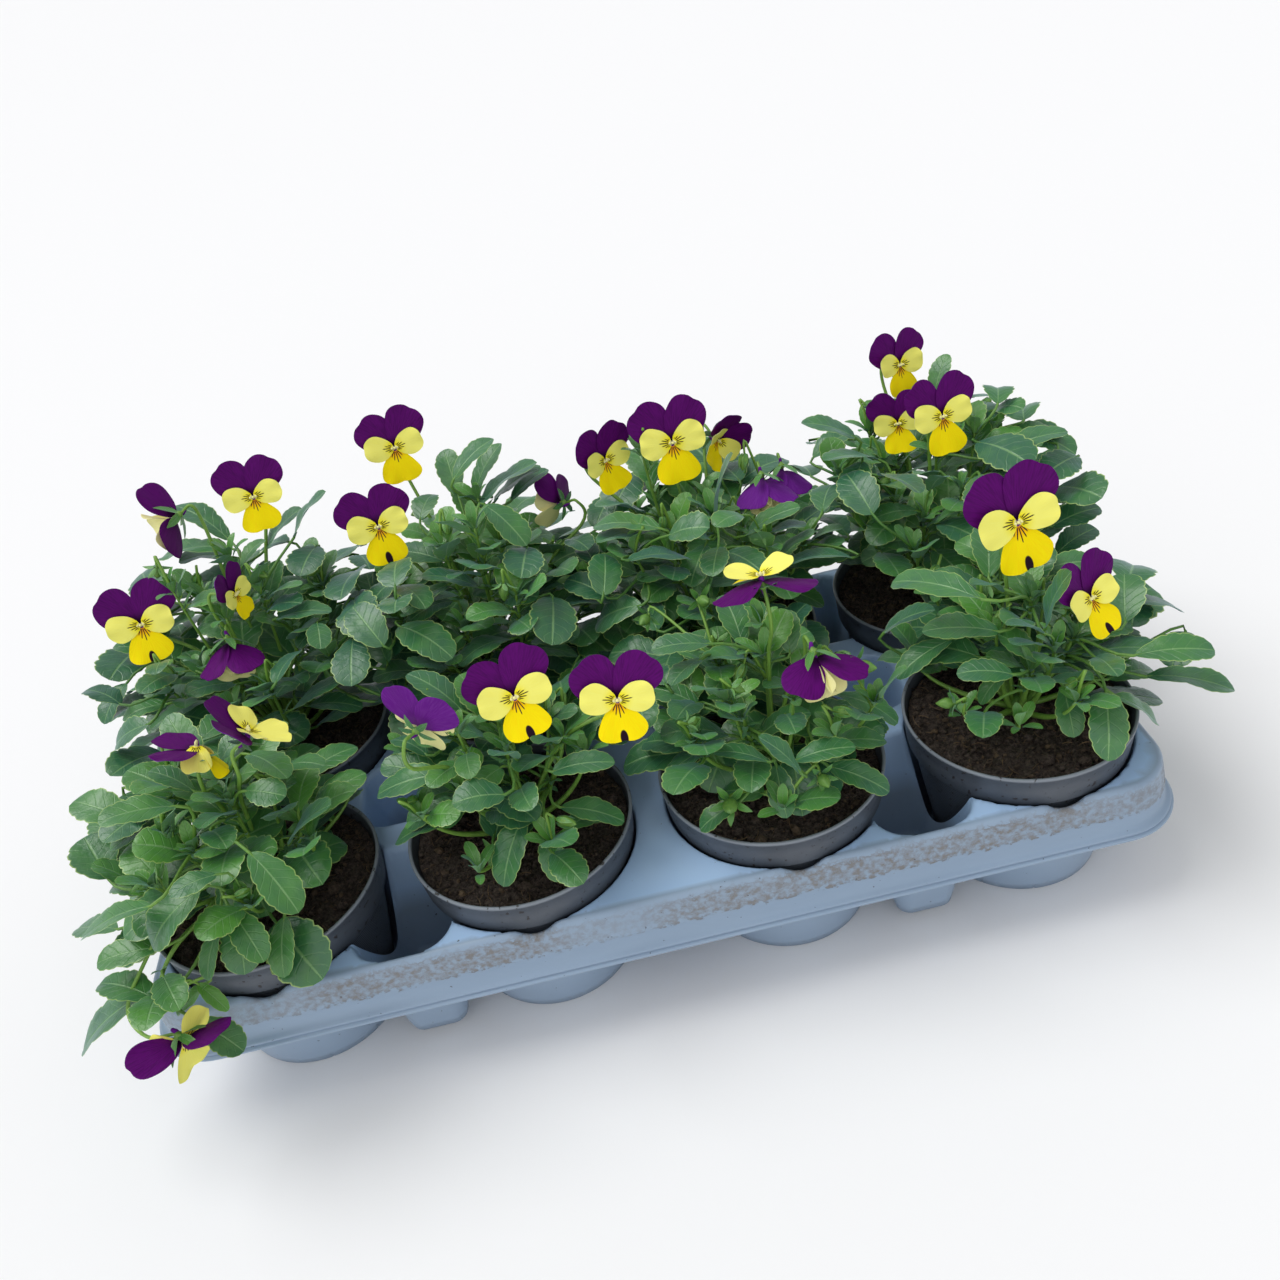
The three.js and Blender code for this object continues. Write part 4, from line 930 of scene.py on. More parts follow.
def polar(bearing, reach, z):
    """A place by its bearing in degrees, its reach and its height."""
    angle = np.radians(bearing)
    return np.array([reach * np.cos(angle), reach * np.sin(angle), z])


centre_of = {name: np.array([*centre, 0.0]) for name, centre in zip(pot_names, pot_centres)}
bloom_places = np.array([centre_of[pot] + at for pot, at, *_ in blooms])
bloom_facings = np.array([bloom_axes(*turns)[0] for _, _, *turns, _, _ in blooms])
bloom_turns = [special_poses[order][0] if order in special_poses else bloom[2:5]
               for order, bloom in enumerate(blooms)]
bloom_sizes = np.array([bloom[-1] for bloom in blooms])
bloom_closings = np.minimum([bloom[-2] + 8 for bloom in blooms], 90)
bloom_fronts = 6 + 26 * bloom_sizes * np.sin(np.radians(bloom_closings))
print("the highest bloom is", bloom_places[:, 2].max(), "mm up")

# %% A leaf's places


def leaf_samples(leaf):
    """Fifteen places on a blade, five along by three across, then five on its stalk."""
    _, side, face = leaf["axes"]
    u = np.repeat([0.05, 0.25, 0.5, 0.75, 1.0], 3)
    s = np.tile([-0.5, 0, 0.5], 5)
    reach = s * leaf["width"] * np.where(u > 0.9, 0.2, 1)
    lift = np.abs(s) * leaf["fold"] * leaf["width"]
    on_blade = rib_line(leaf, u) + side * reach[:, None] + face * lift[:, None]
    part = np.array([0.3, 0.45, 0.6, 0.75, 0.9])[:, None]
    return np.vstack([on_blade, leaf["root"] + (leaf["base"] - leaf["root"]) * part])


def floor_below(places):
    """The height that foliage stays above: the compost, a rim, the tray or the floor."""
    on_tray = (np.abs(places[:, 0]) < 285) & (np.abs(places[:, 1]) < 139)
    level = np.where(on_tray, 86.5, 8.0)
    reach = np.linalg.norm(places[:, None, :2] - pot_centres, axis=-1).min(axis=1)
    return np.where(reach < 58, 98.5, np.where(reach < 64.5, 103.0, level))


print("leaves keep above", floor_below(np.zeros((1, 3)))[0], "mm on the deck")

# %% Room beside blooms and in the plant's own part


def clear_of_blooms(places):
    """True when no place is within reach of a face and near its plane."""
    off = places[:, None] - bloom_places
    depth = (off * bloom_facings).sum(-1)
    radius = np.sqrt(np.maximum((off ** 2).sum(-1) - depth ** 2, 0))
    return np.all((radius > 28 * bloom_sizes) | (depth < -12) | (depth > bloom_fronts))


def in_cell(places, centre, spill):
    """True when all places keep to the plant's own part of the tray, or spill over it by no
    more than a few millimetres, or hang outside the tray."""
    off = places[:, :2] - centre[:2]
    limit = pot_pitch / 2 + spill
    outside = np.array([np.abs(centre[0]) > pot_pitch[0], True])
    inward = off * -np.sign(centre[:2])
    return np.all(inward < limit) and np.all((np.abs(off) < limit) | outside)


print("the sample is clear of the blooms:", clear_of_blooms(leaf_samples(sample)))

# %% Room beside other leaves


def slab_hit(places, base, axes, length, width, bow, margin):
    """True when a place lies in the thin bowed slab that a blade fills. Works for many
    blades at once: their numbers have one row each."""
    along, side, face = axes
    start = places - base
    u = (start * along).sum(-1) / length
    off = start - (u * length)[..., None] * along - (4 * bow * u * (1 - u))[..., None] * face
    beside, above = np.abs((off * side).sum(-1)), np.abs((off * face).sum(-1))
    return np.any((beside < width / 2 + 1) & (above < margin) & (u > -0.05) & (u < 1.05))


def blades_meet(leaf, places, others, margin):
    """True when the new blade runs through an old one, or an old one through it."""
    if not others:
        return False
    sizes = ("length", "width", "bow")
    column = {key: np.array([other[key] for other in others])[:, None]
              for key in ("base", *sizes)}
    axes = np.array([other["axes"] for other in others])
    old_axes = [axes[:, None, k] for k in range(3)]
    if slab_hit(places[None], column["base"], old_axes, *(column[key] for key in sizes), margin):
        return True
    old_places = np.concatenate([other["places"] for other in others])
    return slab_hit(old_places, leaf["base"], leaf["axes"], *(leaf[key] for key in sizes), margin)


sample["places"] = leaf_samples(sample)[:15]
print("a leaf meets itself:", blades_meet(sample, sample["places"], [sample], 2.6))

# %% Room in the photograph


def hides(places, view):
    """True when a place, seen by the camera, falls in an ellipse of the photograph."""
    x, y, half_wide, half_high = view
    off = places - camera_place
    far = off @ forward
    across = photo_width / 2 + focal_pixels * (off @ right) / far - x
    down = photo_width / 2 - focal_pixels * (off @ upward) / far - y
    return np.any((across / half_wide) ** 2 + (down / half_high) ** 2 < 1)


def covers_bloom(places):
    """True when a place, seen by the camera, lies in front of the middle of a bloom."""
    off, blooms_off = places - camera_place, bloom_places - camera_place
    far, blooms_far = off @ forward, blooms_off @ forward
    seen = np.stack([off @ right, off @ upward], -1) / far[:, None]
    blooms_seen = np.stack([blooms_off @ right, blooms_off @ upward], -1) / blooms_far[:, None]
    gap = np.linalg.norm(seen[:, None] - blooms_seen, axis=-1) * blooms_far
    return np.any((gap < 23 * bloom_sizes) & (far[:, None] < blooms_far))


# Where the photograph looks between the leaves at the compost, a pot or the deck: the
# middle and the half sizes of an ellipse in its pixels. The finer leaves keep out of them.
open_views = [(1030, 742, 100, 34), (940, 705, 30, 28), (872, 592, 34, 20), (858, 648, 24, 52),
              (905, 800, 34, 34), (775, 842, 62, 12), (640, 868, 46, 34), (688, 800, 10, 26),
              (455, 880, 42, 34), (548, 905, 60, 12), (578, 772, 16, 26), (348, 900, 24, 40),
              (375, 850, 10, 50), (398, 900, 14, 60), (392, 795, 16, 30), (352, 742, 30, 26),
              (822, 590, 12, 30), (1090, 760, 50, 20), (92, 1008, 30, 9), (78, 974, 16, 22),
              (128, 974, 24, 4)]
print(len(open_views), "places between the leaves stay open")

# %% Trying a leaf


def try_leaf(leaf, leaves, centre, margin=2.6, spill=-0.8, neighbours=(), views=()):
    """Keeps the leaf if it has room, and says whether it did. Only the finer leaves are
    given views, and only they keep out of the camera's way to a bloom."""
    places = leaf_samples(leaf)
    free = (in_cell(places, centre, spill) and np.all(places[:, 2] > floor_below(places))
            and clear_of_blooms(places) and not any(hides(places, view) for view in views)
            and not (views and covers_bloom(places)))
    if not free or blades_meet(leaf, places[:15], [*leaves, *neighbours], margin):
        return False
    leaf["places"] = places[:15]
    leaves.append(leaf)
    return True


# %% Stems
crown_z = 101.0
sink = 1.5                                         # how deep a stem starts in the crown
stem_points = 26                                   # on the curve of each stem and shoot
golden_angle = 137.508                             # in degrees


def bow_curve(start, middle, end, count):
    """A quadratic Bezier curve: (1-t)^2 start + 2t(1-t) middle + t^2 end."""
    t = np.linspace(0, 1, count)[:, None]
    return (1 - t) ** 2 * start + 2 * t * (1 - t) * middle + t ** 2 * end


def cad_stems(centre, draw):
    """Three stems spread round the crown and one in the middle."""
    rise = 0 if centre[1] < 0 else 22
    stems = []
    for i in range(4):
        bearing = 360 * i / 3 + draw(-22, 22)
        reach, top = (5, 172) if i == 3 else (draw(26, 36), draw(136, 158))
        knee = crown_z + 0.4 * (top - crown_z)
        stems.append(bow_curve(centre + polar(bearing, 3, crown_z - sink),
                               centre + polar(bearing, 0.75 * reach, knee),
                               centre + polar(bearing, reach, top + rise), stem_points))
    return stems


def nearest_stem(stems, base):
    """The stem point closest to a blade's base, with a penalty for points above it."""
    places = np.vstack([stem[5:-1] for stem in stems])         # none of them in the compost
    above = np.maximum(0, places[:, 2] - base[2] + 2)
    return places[np.argmin(np.linalg.norm(places - base, axis=1) + 2.5 * above)]


def stalk_between(leaf, shortest, longest):
    """True when the way from the stem to the blade is a fair length for a stalk."""
    return shortest < np.linalg.norm(leaf["root"] - leaf["base"]) < longest


print("the crown is", crown_z, "mm up, in compost that reaches", soil_z, "mm")

# %% The leaves of the CAD


def cad_leaves(name, centre, stems, draw):
    """The listed leaves, then eighteen of the dome, by the source's own draws. The
    rows of those that found no room are given back too."""
    leaves, missed = [], []
    for bearing, reach, height, length, heading, rise in showy_leaves[name]:
        roll = draw(-0.2, 0.2)
        level = np.sqrt(max(length ** 2 - rise ** 2, 100))
        for lift in range(4):
            tip = centre + polar(bearing, reach, height + 4 * lift)
            base = tip - polar(heading, level, rise + lift)
            leaf = new_leaf(base, tip, nearest_stem(stems, base), min(0.5 * length, 20),
                            0.08 * length, 0.16, roll)
            if try_leaf(leaf, leaves, centre):
                break
        else:
            missed.append((bearing, reach, height, length, heading, rise))
    for index in range(18):
        part = (index + 0.5) / 18
        climb = np.arcsin(-0.06 + 1.03 * part)
        bearing = golden_angle * index + draw(-12, 12)
        reach = (82 if abs(centre[0]) > pot_pitch[0] else 74) * draw(0.86, 1)
        height = (84 if centre[1] < 0 else 112) * draw(0.9, 1)
        length = draw(30, 40) if part < 0.55 else draw(24, 31)
        heading = bearing + draw(-38, 38)
        pitch = climb * 0.85 - 0.3 + draw(-0.3, 0.3)
        width = length * draw(0.5, 0.6)
        roll = draw(-0.3, 0.3)
        fold = draw(0.08, 0.22)
        tip = centre + polar(bearing, reach * np.cos(climb), 110 + height * np.sin(climb))
        base = tip - polar(heading, length * np.cos(pitch), length * np.sin(pitch))
        leaf = new_leaf(base, tip, nearest_stem(stems, base), width, 0.1 * length, fold, roll)
        if stalk_between(leaf, 4, 42):
            try_leaf(leaf, leaves, centre)
    return leaves, missed


plants = {}
for number, (name, centre) in enumerate(centre_of.items()):
    draw = dice(40 + number)
    stems = cad_stems(centre, draw)
    plants[name] = stems, *cad_leaves(name, centre, stems, draw)
    print("plant", name, "has", len(plants[name][1]), "leaves of the CAD")

# %% Shoots


def shoot_paths(centre, draw):
    """Thirteen thinner shoots between the CAD stems: eight lean out and then turn up, and
    five stand nearly upright round the middle. The back row stands taller and wider. A
    shoot that would end before a bloom is grown shorter."""
    back = centre[1] > 0
    paths = []
    for i in range(13):
        outer = i < 8
        bearing = (45 * i + 25 if outer else 72 * i) + draw(-16, 16)
        reach = draw(42, 60) + 6 * back if outer else draw(12, 34)
        top = draw(120, 152) + 38 * back if outer else draw(152, 180) + 46 * back
        for growth in (1.0, 0.84, 0.68, 0.52):
            rise = growth * (top - crown_z)
            path = bow_curve(centre + polar(bearing, 4, crown_z - 3),
                             centre + polar(bearing, 0.8 * reach, crown_z + 0.3 * rise),
                             centre + polar(bearing, reach, crown_z + rise), stem_points)
            tuft_places = path[-1] + np.outer([9, 16], up)
            if not covers_bloom(np.vstack([path[-8:], tuft_places])):
                break
        paths.append(path)
    return paths


trailing_shoot = [(0, -4, 98), (-34, -54, 140), (-46, -70, 98)]        # from the middle of pot a1
print("the trailing shoot starts", trailing_shoot[0][2], "mm up")

# %% Leaves along the shoots


def shoot_leaves(centre, paths, leaves, neighbours, draw):
    """Leaves climb each shoot at the golden angle: long stalked and large below, small,
    upright and young at the top. Each one tries a few bearings until it has room."""
    spill = 24 if centre[1] > 0 else 14
    for path in paths:
        outward = unit((path[-1] - centre) * [1, 1, 0])
        turn = draw(0, 360)
        nodes = 9 if path[-1][2] < 160 else 14
        for node in range(nodes):
            f = 0.15 + 0.85 * (node + 0.6) / nodes
            root = path[int(round((stem_points - 1) * min(f, 1)))]
            length = (47 - 27 * f ** 1.5) * draw(0.82, 1.2)
            stalk_length = (22 - 18 * f) * draw(0.8, 1.4)
            for attempt in range(7):
                bearing = turn + golden_angle * node + 47 * attempt
                level = unit(polar(bearing, 1, 0) + (0.8 - 0.6 * f) * outward)
                rise = np.radians(draw(0, 35) + 30 * f)
                base = root + stalk_length * (np.cos(rise) * level + np.sin(rise) * up)
                pitch = np.radians(draw(-34, 12) + 55 * f ** 3)
                aside = unit(level + 0.5 * draw(-1, 1) * np.cross(level, up))
                tip = base + length * (np.cos(pitch) * aside + np.sin(pitch) * up)
                width, bow = length * draw(0.58, 0.84), length * draw(0.05, 0.13)
                leaf = new_leaf(base, tip, root, width, bow, draw(0.0, 0.2), draw(-0.35, 0.35),
                                0.12 + 0.75 * f ** 3)
                margin = 1.9 if length > 20 else 0.8
                if try_leaf(leaf, leaves, centre, margin, spill, neighbours, open_views):
                    break


# %% Leaves of the dome


def dome_leaves(centre, paths, leaves, neighbours, draw, count):
    """Blades that close the dome where it still shows gaps, on the nearest stem."""
    back = centre[1] > 0
    for index in range(count):
        part = (index + 0.5) / count
        climb = np.arcsin(-0.10 + 1.06 * part)
        bearing = golden_angle * index + draw(-20, 20)
        reach = (90 if back else 82 if abs(centre[0]) > pot_pitch[0] else 78) * draw(0.6, 1)
        height = (122 if back else 84) * draw(0.6, 1)
        length = draw(30, 48) if part < 0.7 else draw(20, 34)
        heading = bearing + draw(-60, 60)
        pitch = climb * 0.6 - 0.4 + draw(-0.4, 0.4)
        tip = centre + polar(bearing, reach * np.cos(climb) ** 0.6, 108 + height * np.sin(climb))
        base = tip - polar(heading, length * np.cos(pitch), length * np.sin(pitch))
        leaf = new_leaf(base, tip, nearest_stem(paths, base), length * draw(0.58, 0.8),
                        length * draw(0.06, 0.13), draw(0.0, 0.2), draw(-0.35, 0.35),
                        0.08 + 0.3 * part * draw(0.5, 1))
        if stalk_between(leaf, 4, 36):
            try_leaf(leaf, leaves, centre, 1.7, 24 if back else 14, neighbours, open_views)


def inner_leaves(centre, paths, leaves, neighbours, draw, count):
    """Small leaves all through the dome, mostly in its far half: a plant in full leaf hides
    what is behind it. Places are drawn evenly in a box round the dome, and kept where the
    sum of the cubes of their three shares is below one, which is a box with round edges."""
    back = centre[1] > 0
    for _ in range(count):
        across, away, rise = draw(-1, 1), draw(-0.7 if back else -0.2, 1), draw(0, 1)
        middle = centre + [93 * across, 86 * away, 98 + (116 if back else 70) * rise]
        along = unit(polar(draw(0, 360), 1, draw(-0.5, 0.5)))
        length = draw(24, 44)
        if abs(across) ** 3 + abs(away) ** 3 + rise ** 3 >= 1:
            continue
        base, tip = middle - 0.5 * length * along, middle + 0.5 * length * along
        leaf = new_leaf(base, tip, nearest_stem(paths, base), length * draw(0.6, 0.84),
                        0.09 * length, draw(0, 0.2), draw(-0.4, 0.4), 0.1)
        if stalk_between(leaf, 4, 46):
            try_leaf(leaf, leaves, centre, 0.9, 28 if back else 14, neighbours, open_views)


dome_count, inner_count = 380, {"a": 300, "b": 1100}           # tries, most find no room
print("each plant tries", dome_count, "leaves of the dome and", inner_count, "inside it")

# %% More listed leaves
late_leaves = {  # at the top of the back row and between its plants
    "b1": [(16, 73, 250, 34, 16, 21)],
    "b2": [(22, 56, 238, 46, 10, 18), (44, 42, 250, 34, 25, 14), (30, 66, 226, 30, 21, 10),
           (-35, 44, 206, 36, -50, -20), (170, 34, 232, 32, 178, 8), (-29, 50, 180, 32, -24, -12),
           (-143, 34, 204, 34, 180, 16)],
    "b3": [(-4, 81, 155, 45, 12, 22), (5, 80, 168, 36, 20, 12), (-16, 86, 140, 42, -14, 4),
           (14, 70, 190, 34, 24, 12), (-170, 74, 216, 40, -150, 24), (-160, 70, 202, 42, -167, 9),
           (-95, 38, 200, 38, -130, -16), (-140, 48, 170, 32, -163, 1)],
    "b4": [(180, 78, 144, 38, 165, -3), (176, 82, 164, 40, 172, 6), (163, 61, 250, 36, 163, 23),
           (150, 66, 214, 40, 158, 10), (173, 74, 226, 34, 168, 14), (-167, 70, 212, 38, -168, 12),
           (-154, 67, 186, 36, -156, 6)]}
print("there are", sum(map(len, late_leaves.values())), "late leaves")


def missed_leaves(rows, centre, paths, leaves, neighbours, draw):
    """The listed leaves that found no room in the CAD plant, and the late ones. A
    finer blade needs less room, so each is tried again, a little higher or lower."""
    for bearing, reach, height, length, heading, rise in rows:
        for lift in (0, -5, 5, 10):
            tip = centre + polar(bearing, reach, height + lift)
            base = tip - polar(heading, np.sqrt(length ** 2 - rise ** 2), rise)
            leaf = new_leaf(base, tip, nearest_stem(paths, base), 0.56 * length, 0.08 * length,
                            0.14, draw(-0.2, 0.2), 0.2)
            if try_leaf(leaf, leaves, centre, 1.0, 24, neighbours, open_views[:1]):
                break


def hanging_leaf(centre, paths, base, tip, width, age):
    """A leaf over the rim or outside the tray, put where the photograph shows it."""
    base, tip = centre + base, centre + tip
    leaf = new_leaf(base, tip, nearest_stem(paths, base), width, 0.09 * width, 0.14, 0.0, age)
    return {**leaf, "places": leaf_samples(leaf)[:15]}


trailing_leaves = [  # base and tip from the middle of pot a1, width, age
    ((-65, -32, 120), (-98, -10, 106), 16, 0.2), ((-28, -78, 92), (-10, -88, 74), 17, 0.3),
    ((4, -48, 126), (3, -74, 112), 22, 0.1), ((-18, -66, 105), (-38, -73, 94), 9, 1.2),
    ((-24, -67, 106), (-12, -77, 93), 8, 1.2)]
print(len(trailing_leaves), "leaves hang over the front edge")

# %% [markdown]
# ### Flower stalks and sepals
# Each flower nods on a thin stalk that hooks over behind it and spreads into five green
# sepals. The stalk is a smooth curve through a few points (Catmull-Rom), carried as a tube.

# %% Smooth curves


def smooth_curve(knots, count):
    """A Catmull-Rom curve: between two knots, a cubic whose slope at each knot is half the
    step from the knot before it to the knot after it."""
    ends = np.vstack([2 * knots[0] - knots[1], knots, 2 * knots[-1] - knots[-2]])
    at = np.linspace(0, len(knots) - 1, count)
    k = np.minimum(at.astype(int), len(knots) - 2)
    t = (at - k)[:, None]
    a, b, c, d = ends[k], ends[k + 1], ends[k + 2], ends[k + 3]
    return b + 0.5 * t * (c - a + t * (2 * a - 5 * b + 4 * c - d + t * (3 * (b - c) + d - a)))


print("a curve over three knots starts at", smooth_curve(np.eye(3), 5)[0])

# %% Slivers


def sliver(base, tip, width, face_hint, age, rise=0.0):
    """A small pointed blade, such as a sepal or a stipule, that faces about as hinted."""
    along = unit(tip - base)
    side = unit(np.cross(along, face_hint))
    leaf = {"base": base, "tip": tip, "width": width, "bow": rise, "fold": 0.25, "age": age,
            "axes": (along, side, np.cross(side, along)), "length": np.linalg.norm(tip - base)}
    return blade(leaf, 1, 3, swell=(0.5, 0.8), thick=0.35)


sepal = sliver(0 * up, 12 * up, 4, np.array([0.0, -1.0, 0.0]), 0)
print("a sepal has", len(sepal["faces"]), "faces")

# %% Flower stalks
over_rim = [(-28, -42, 130), (-54, -58, 110), (-62, -68, 97), (-50, -83, 95)]
print("the hanging bloom's stalk comes down to", over_rim[-1][2], "mm")


def stalk_knots(pot, foot, end, facing, nods, hangs):
    """The knots of a flower's stalk: from the crown over the rim, or up and over a hook
    behind the bloom. The hook of a nodding bloom stands higher."""
    if hangs:
        return [foot, *(centre_of[pot] + over_rim), end]
    back = unit(facing * [1, 1, 0] + [0, 0.2, 0])
    arch = end + (3 * up - 7 * back if nods else 2 * up - 9 * facing)
    middle = (foot + end) / 2 + 12 * up - 5 * facing * [1, 1, 0]
    return [foot, middle, arch - 14 * up - 2 * back, arch, end]


def flower_stalk(bloom, place, axes):
    """The hooked stalk, a small knob where it spreads, and five sepals behind the petals. On
    a nodding bloom they are larger and hang down over the petals."""
    pot, at, *_ = bloom
    facing, right, top = axes
    nods, hangs = facing[2] < -0.3, at[2] < crown_z
    crown = centre_of[pot] + [0, 0, crown_z]
    foot = crown + polar(np.degrees(np.arctan2(*(place - crown)[[1, 0]])), 3, -sink)
    place = place + hanging_shift if hangs else place
    knots = stalk_knots(pot, foot, place - 6 * facing, facing, nods, hangs)
    path = smooth_curve(np.array(knots), stem_points)
    knob = place + np.outer([-6.4, -5.2, -3.8, -2.8], facing)
    shapes = [tube(path, np.linspace(1.25, 0.85, stem_points), 6, stem_part, 0.75),
              tube(knob, [1.0, 2.1, 2.3, 1.2], 8, stem_part, 0.6)]
    span, hang, age = (13.5, 2.5, 0.85) if nods else (10.8, -4.2, 0.45)
    for k, degrees in enumerate((180, -108, -36, 36, 108)):
        angle = np.radians(degrees + 6 * np.sin(5.1 * k + place[0]))
        out = top * np.cos(angle) + right * np.sin(angle)
        shapes.append(sliver(place - 4.8 * facing + 1.2 * out, place + hang * facing + span * out,
                             0.35 * span, -facing, age, 0.5))
    return shapes


# %% Buds and pods


def bud(place, facing, size, opened):
    """A bud or a young pod: an egg between five sepals that lean forwards, or spread."""
    across = unit(np.cross(facing, up + 0.1))
    other = np.cross(facing, across)
    t = np.linspace(0.04, 0.96, 7)
    radii = size * 3.0 * np.sin(np.pi * t ** 0.8) + 0.15
    shapes = [tube(place + np.outer(t * size * 11, facing), radii, 8, stem_part,
                   0.35 if opened else 0.55)]
    ahead, aside = (3.0, 9.0) if opened else (9.5, 2.6)
    for k in range(5):
        angle = 2 * np.pi * k / 5 + 0.3
        out = across * np.cos(angle) + other * np.sin(angle)
        tip = place + size * (ahead * facing + aside * out)
        shapes.append(sliver(place + size * 1.6 * out, tip, 3.0 * size,
                             facing if opened else out, 0.8, 0.6))
    return shapes


def bud_stalk(root, place, facing):
    """A stalk that rises from a shoot and hooks over into the bud."""
    arch = place - 5 * facing + 3 * up
    path = smooth_curve(np.array([root, (root + arch) / 2 + 3 * up, arch, place]), 12)
    return tube(path, np.linspace(1.0, 0.7, 12), 5, stem_part, 0.85)


pods = [  # pot, place from its middle, facing, size, opened
    ("a3", (-19, 44, 185), (0.2, -0.7, 0.3), 1.1, True),
    ("a3", (-47, 55, 175), (-0.5, -0.7, 0.1), 1.0, True),
    ("b2", (32, -27, 152), (0.1, -0.9, -0.2), 1.0, True),
    ("a3", (44, -24, 172), (0.6, -0.6, 0.2), 1.2, True),
    ("a3", (-30, -46, 122), (-0.2, -0.9, 0.5), 1.3, True),
    ("a3", (-7, -2, 172), (-0.6, -0.4, -0.6), 1.0, False),
    ("a3", (15, -54, 134), (0.1, -0.8, 0.1), 1.0, True),
    ("b3", (35, 26, 206), (-0.3, -0.5, -0.7), 1.0, False)]
print("the photograph shows", len(pods), "buds and pods well enough to place them")

# %% What grows along a stem


def tuft(path, draw):
    """Six young leaves round the end of a stem or shoot, unless they would stand before a
    bloom."""
    turn, shapes = draw(0, 360), []
    for k in range(0 if covers_bloom(path[-1:] + 8 * up) else 6):
        rise, length = np.radians(draw(15, 75)), draw(9, 17)
        heading = np.cos(rise) * polar(turn + 137.5 * k, 1, 0) + np.sin(rise) * up
        base = path[-1] - 1.5 * up + 1.5 * heading
        young = new_leaf(base, base + length * heading, path[-2], 0.42 * length, 0.1 * length,
                         0.25, draw(-0.3, 0.3), draw(0.7, 1.0))
        shapes.append(blade(young, 2, 3, swell=(0.7, 0.5), thick=0.4))
    return shapes


def whole_leaf(leaf, older, draw):
    """The blade, its stalk, and two stipules: small pointed leaves at the stalk's root."""
    leaf["age"] = leaf["age"] + older + draw(-0.12, 0.12)
    small = leaf["length"] < 22
    wave = leaf["length"] * draw(0.005, 0.03)
    shapes = [blade(leaf, 2 if small else 4, 5, draw(0, 6.3), wave, (draw(0.5, 0.8), 0.48)),
              leaf_stalk(leaf, 0.7 if small else 0.95)]
    root, out = leaf["root"], unit(leaf["base"] - leaf["root"])
    for turn in (-1, 1):
        lean = unit(out + 0.6 * turn * unit(np.cross(out, up)) + 0.5 * up)
        size = draw(7, 14)
        if root[2] > crown_z + 5:
            shapes.append(sliver(root + lean, root + size * lean, 0.24 * size, up, 0.75, 0.6))
    return shapes


def tip_bud(path, draw):
    """A bud above the end of a shoot, unless it would stand before a bloom."""
    place = path[-1] + [draw(-6, 6), draw(-6, 6), draw(9, 16)]
    if covers_bloom(place[None]):
        return []
    facing = unit(np.array([draw(-1, 1), draw(-1, 1), draw(-0.9, 0.1)]))
    made = bud(place, facing, draw(0.7, 1.0), draw() > 0.6)
    return made + [bud_stalk(path[-1], place, facing)]


def placed_pod(centre, paths, at, facing, size, opened):
    """A bud or pod put where the photograph shows it, on the nearest stem."""
    place, facing = centre + at, unit(np.array(facing))
    stalk = bud_stalk(nearest_stem(paths, place - 14 * up), place, facing)
    return bud(place, facing, size, opened) + [stalk]


sample_stem = np.outer(np.arange(stem_points), up)
print("a pod is", len(placed_pod(0 * up, [sample_stem], *pods[0][1:])), "shapes")

# %% [markdown]
# ### Their finish
# A leaf is a thin waxy skin over green tissue. What the eye reads is a pale midrib, faint
# side veins, a thin yellow-green edge, a blue-grey bloom where the wax catches the sky,
# and an age: young leaves are a bright yellow green, old ones dull and bluish.

# %% Leaf finish
leaf_paints = []
for name, old, young, vein, roughness in (
        ("waxy_leaf_upper", "#26603a", "#54922a", "#7ba766", 0.36),
        ("waxy_leaf_under", "#487a50", "#6aa046", "#8fb478", 0.58)):
    paint, tree, shader = finish(name, Roughness=roughness, IOR=1.45, Sheen_Weight=0.30,
                                 Sheen_Tint=colour("#a6c8ee"), Specular_IOR_Level=0.85)
    flat = add(tree, "UVMap", uv_map="flat")
    across, along = (add(tree, "SeparateXYZ", {0: flat}, out=k) for k in (0, 1))
    across = maths(tree, "ABSOLUTE", maths(tree, "MULTIPLY_ADD", across, 2.0, -1.0))
    age = add(tree, "Attribute", out=attribute_value, attribute_name="mark")
    place = add(tree, "TexCoord", out=object_place)
    cloudy = remap(tree, noise(tree, place, 110, 4), 0.3, 0.7, -0.16, 0.16)
    ripeness = maths(tree, "ADD", age, cloudy, use_clamp=True)
    green = blend(tree, ripeness, old, young)
    # Side veins leave the midrib at a slant: 6.5 along less 1.5 across is the same on each.
    phase = maths(tree, "MULTIPLY_ADD", along, 6.5, product(tree, across, -1.5))
    side_vein = maths(tree, "PINGPONG", phase, 0.5)
    side_vein = remap(tree, side_vein, 0.0, 0.09, 0.16, 0.0, smooth=True)
    midrib = remap(tree, across, 0.02, 0.075, 0.65, 0.0, smooth=True)
    green = blend(tree, maths(tree, "MAXIMUM", side_vein, midrib), green, vein)
    rim = remap(tree, across, 0.93, 0.985, 0.0, 0.7)
    green = blend(tree, rim, green, "#b5cf72")
    # Both kinds of vein lie in grooves, in a skin that is finely uneven.
    sunken = maths(tree, "ADD", remap(tree, side_vein, 0.0, 1.0, 0.0, 3.0), midrib)
    fine = noise(tree, place, 190, 4, Roughness=0.55)
    relief = maths(tree, "MULTIPLY_ADD", sunken, -0.5, fine)
    dress(tree, shader, green, relief, 0.6, 0.0008)
    leaf_paints.append(paint)

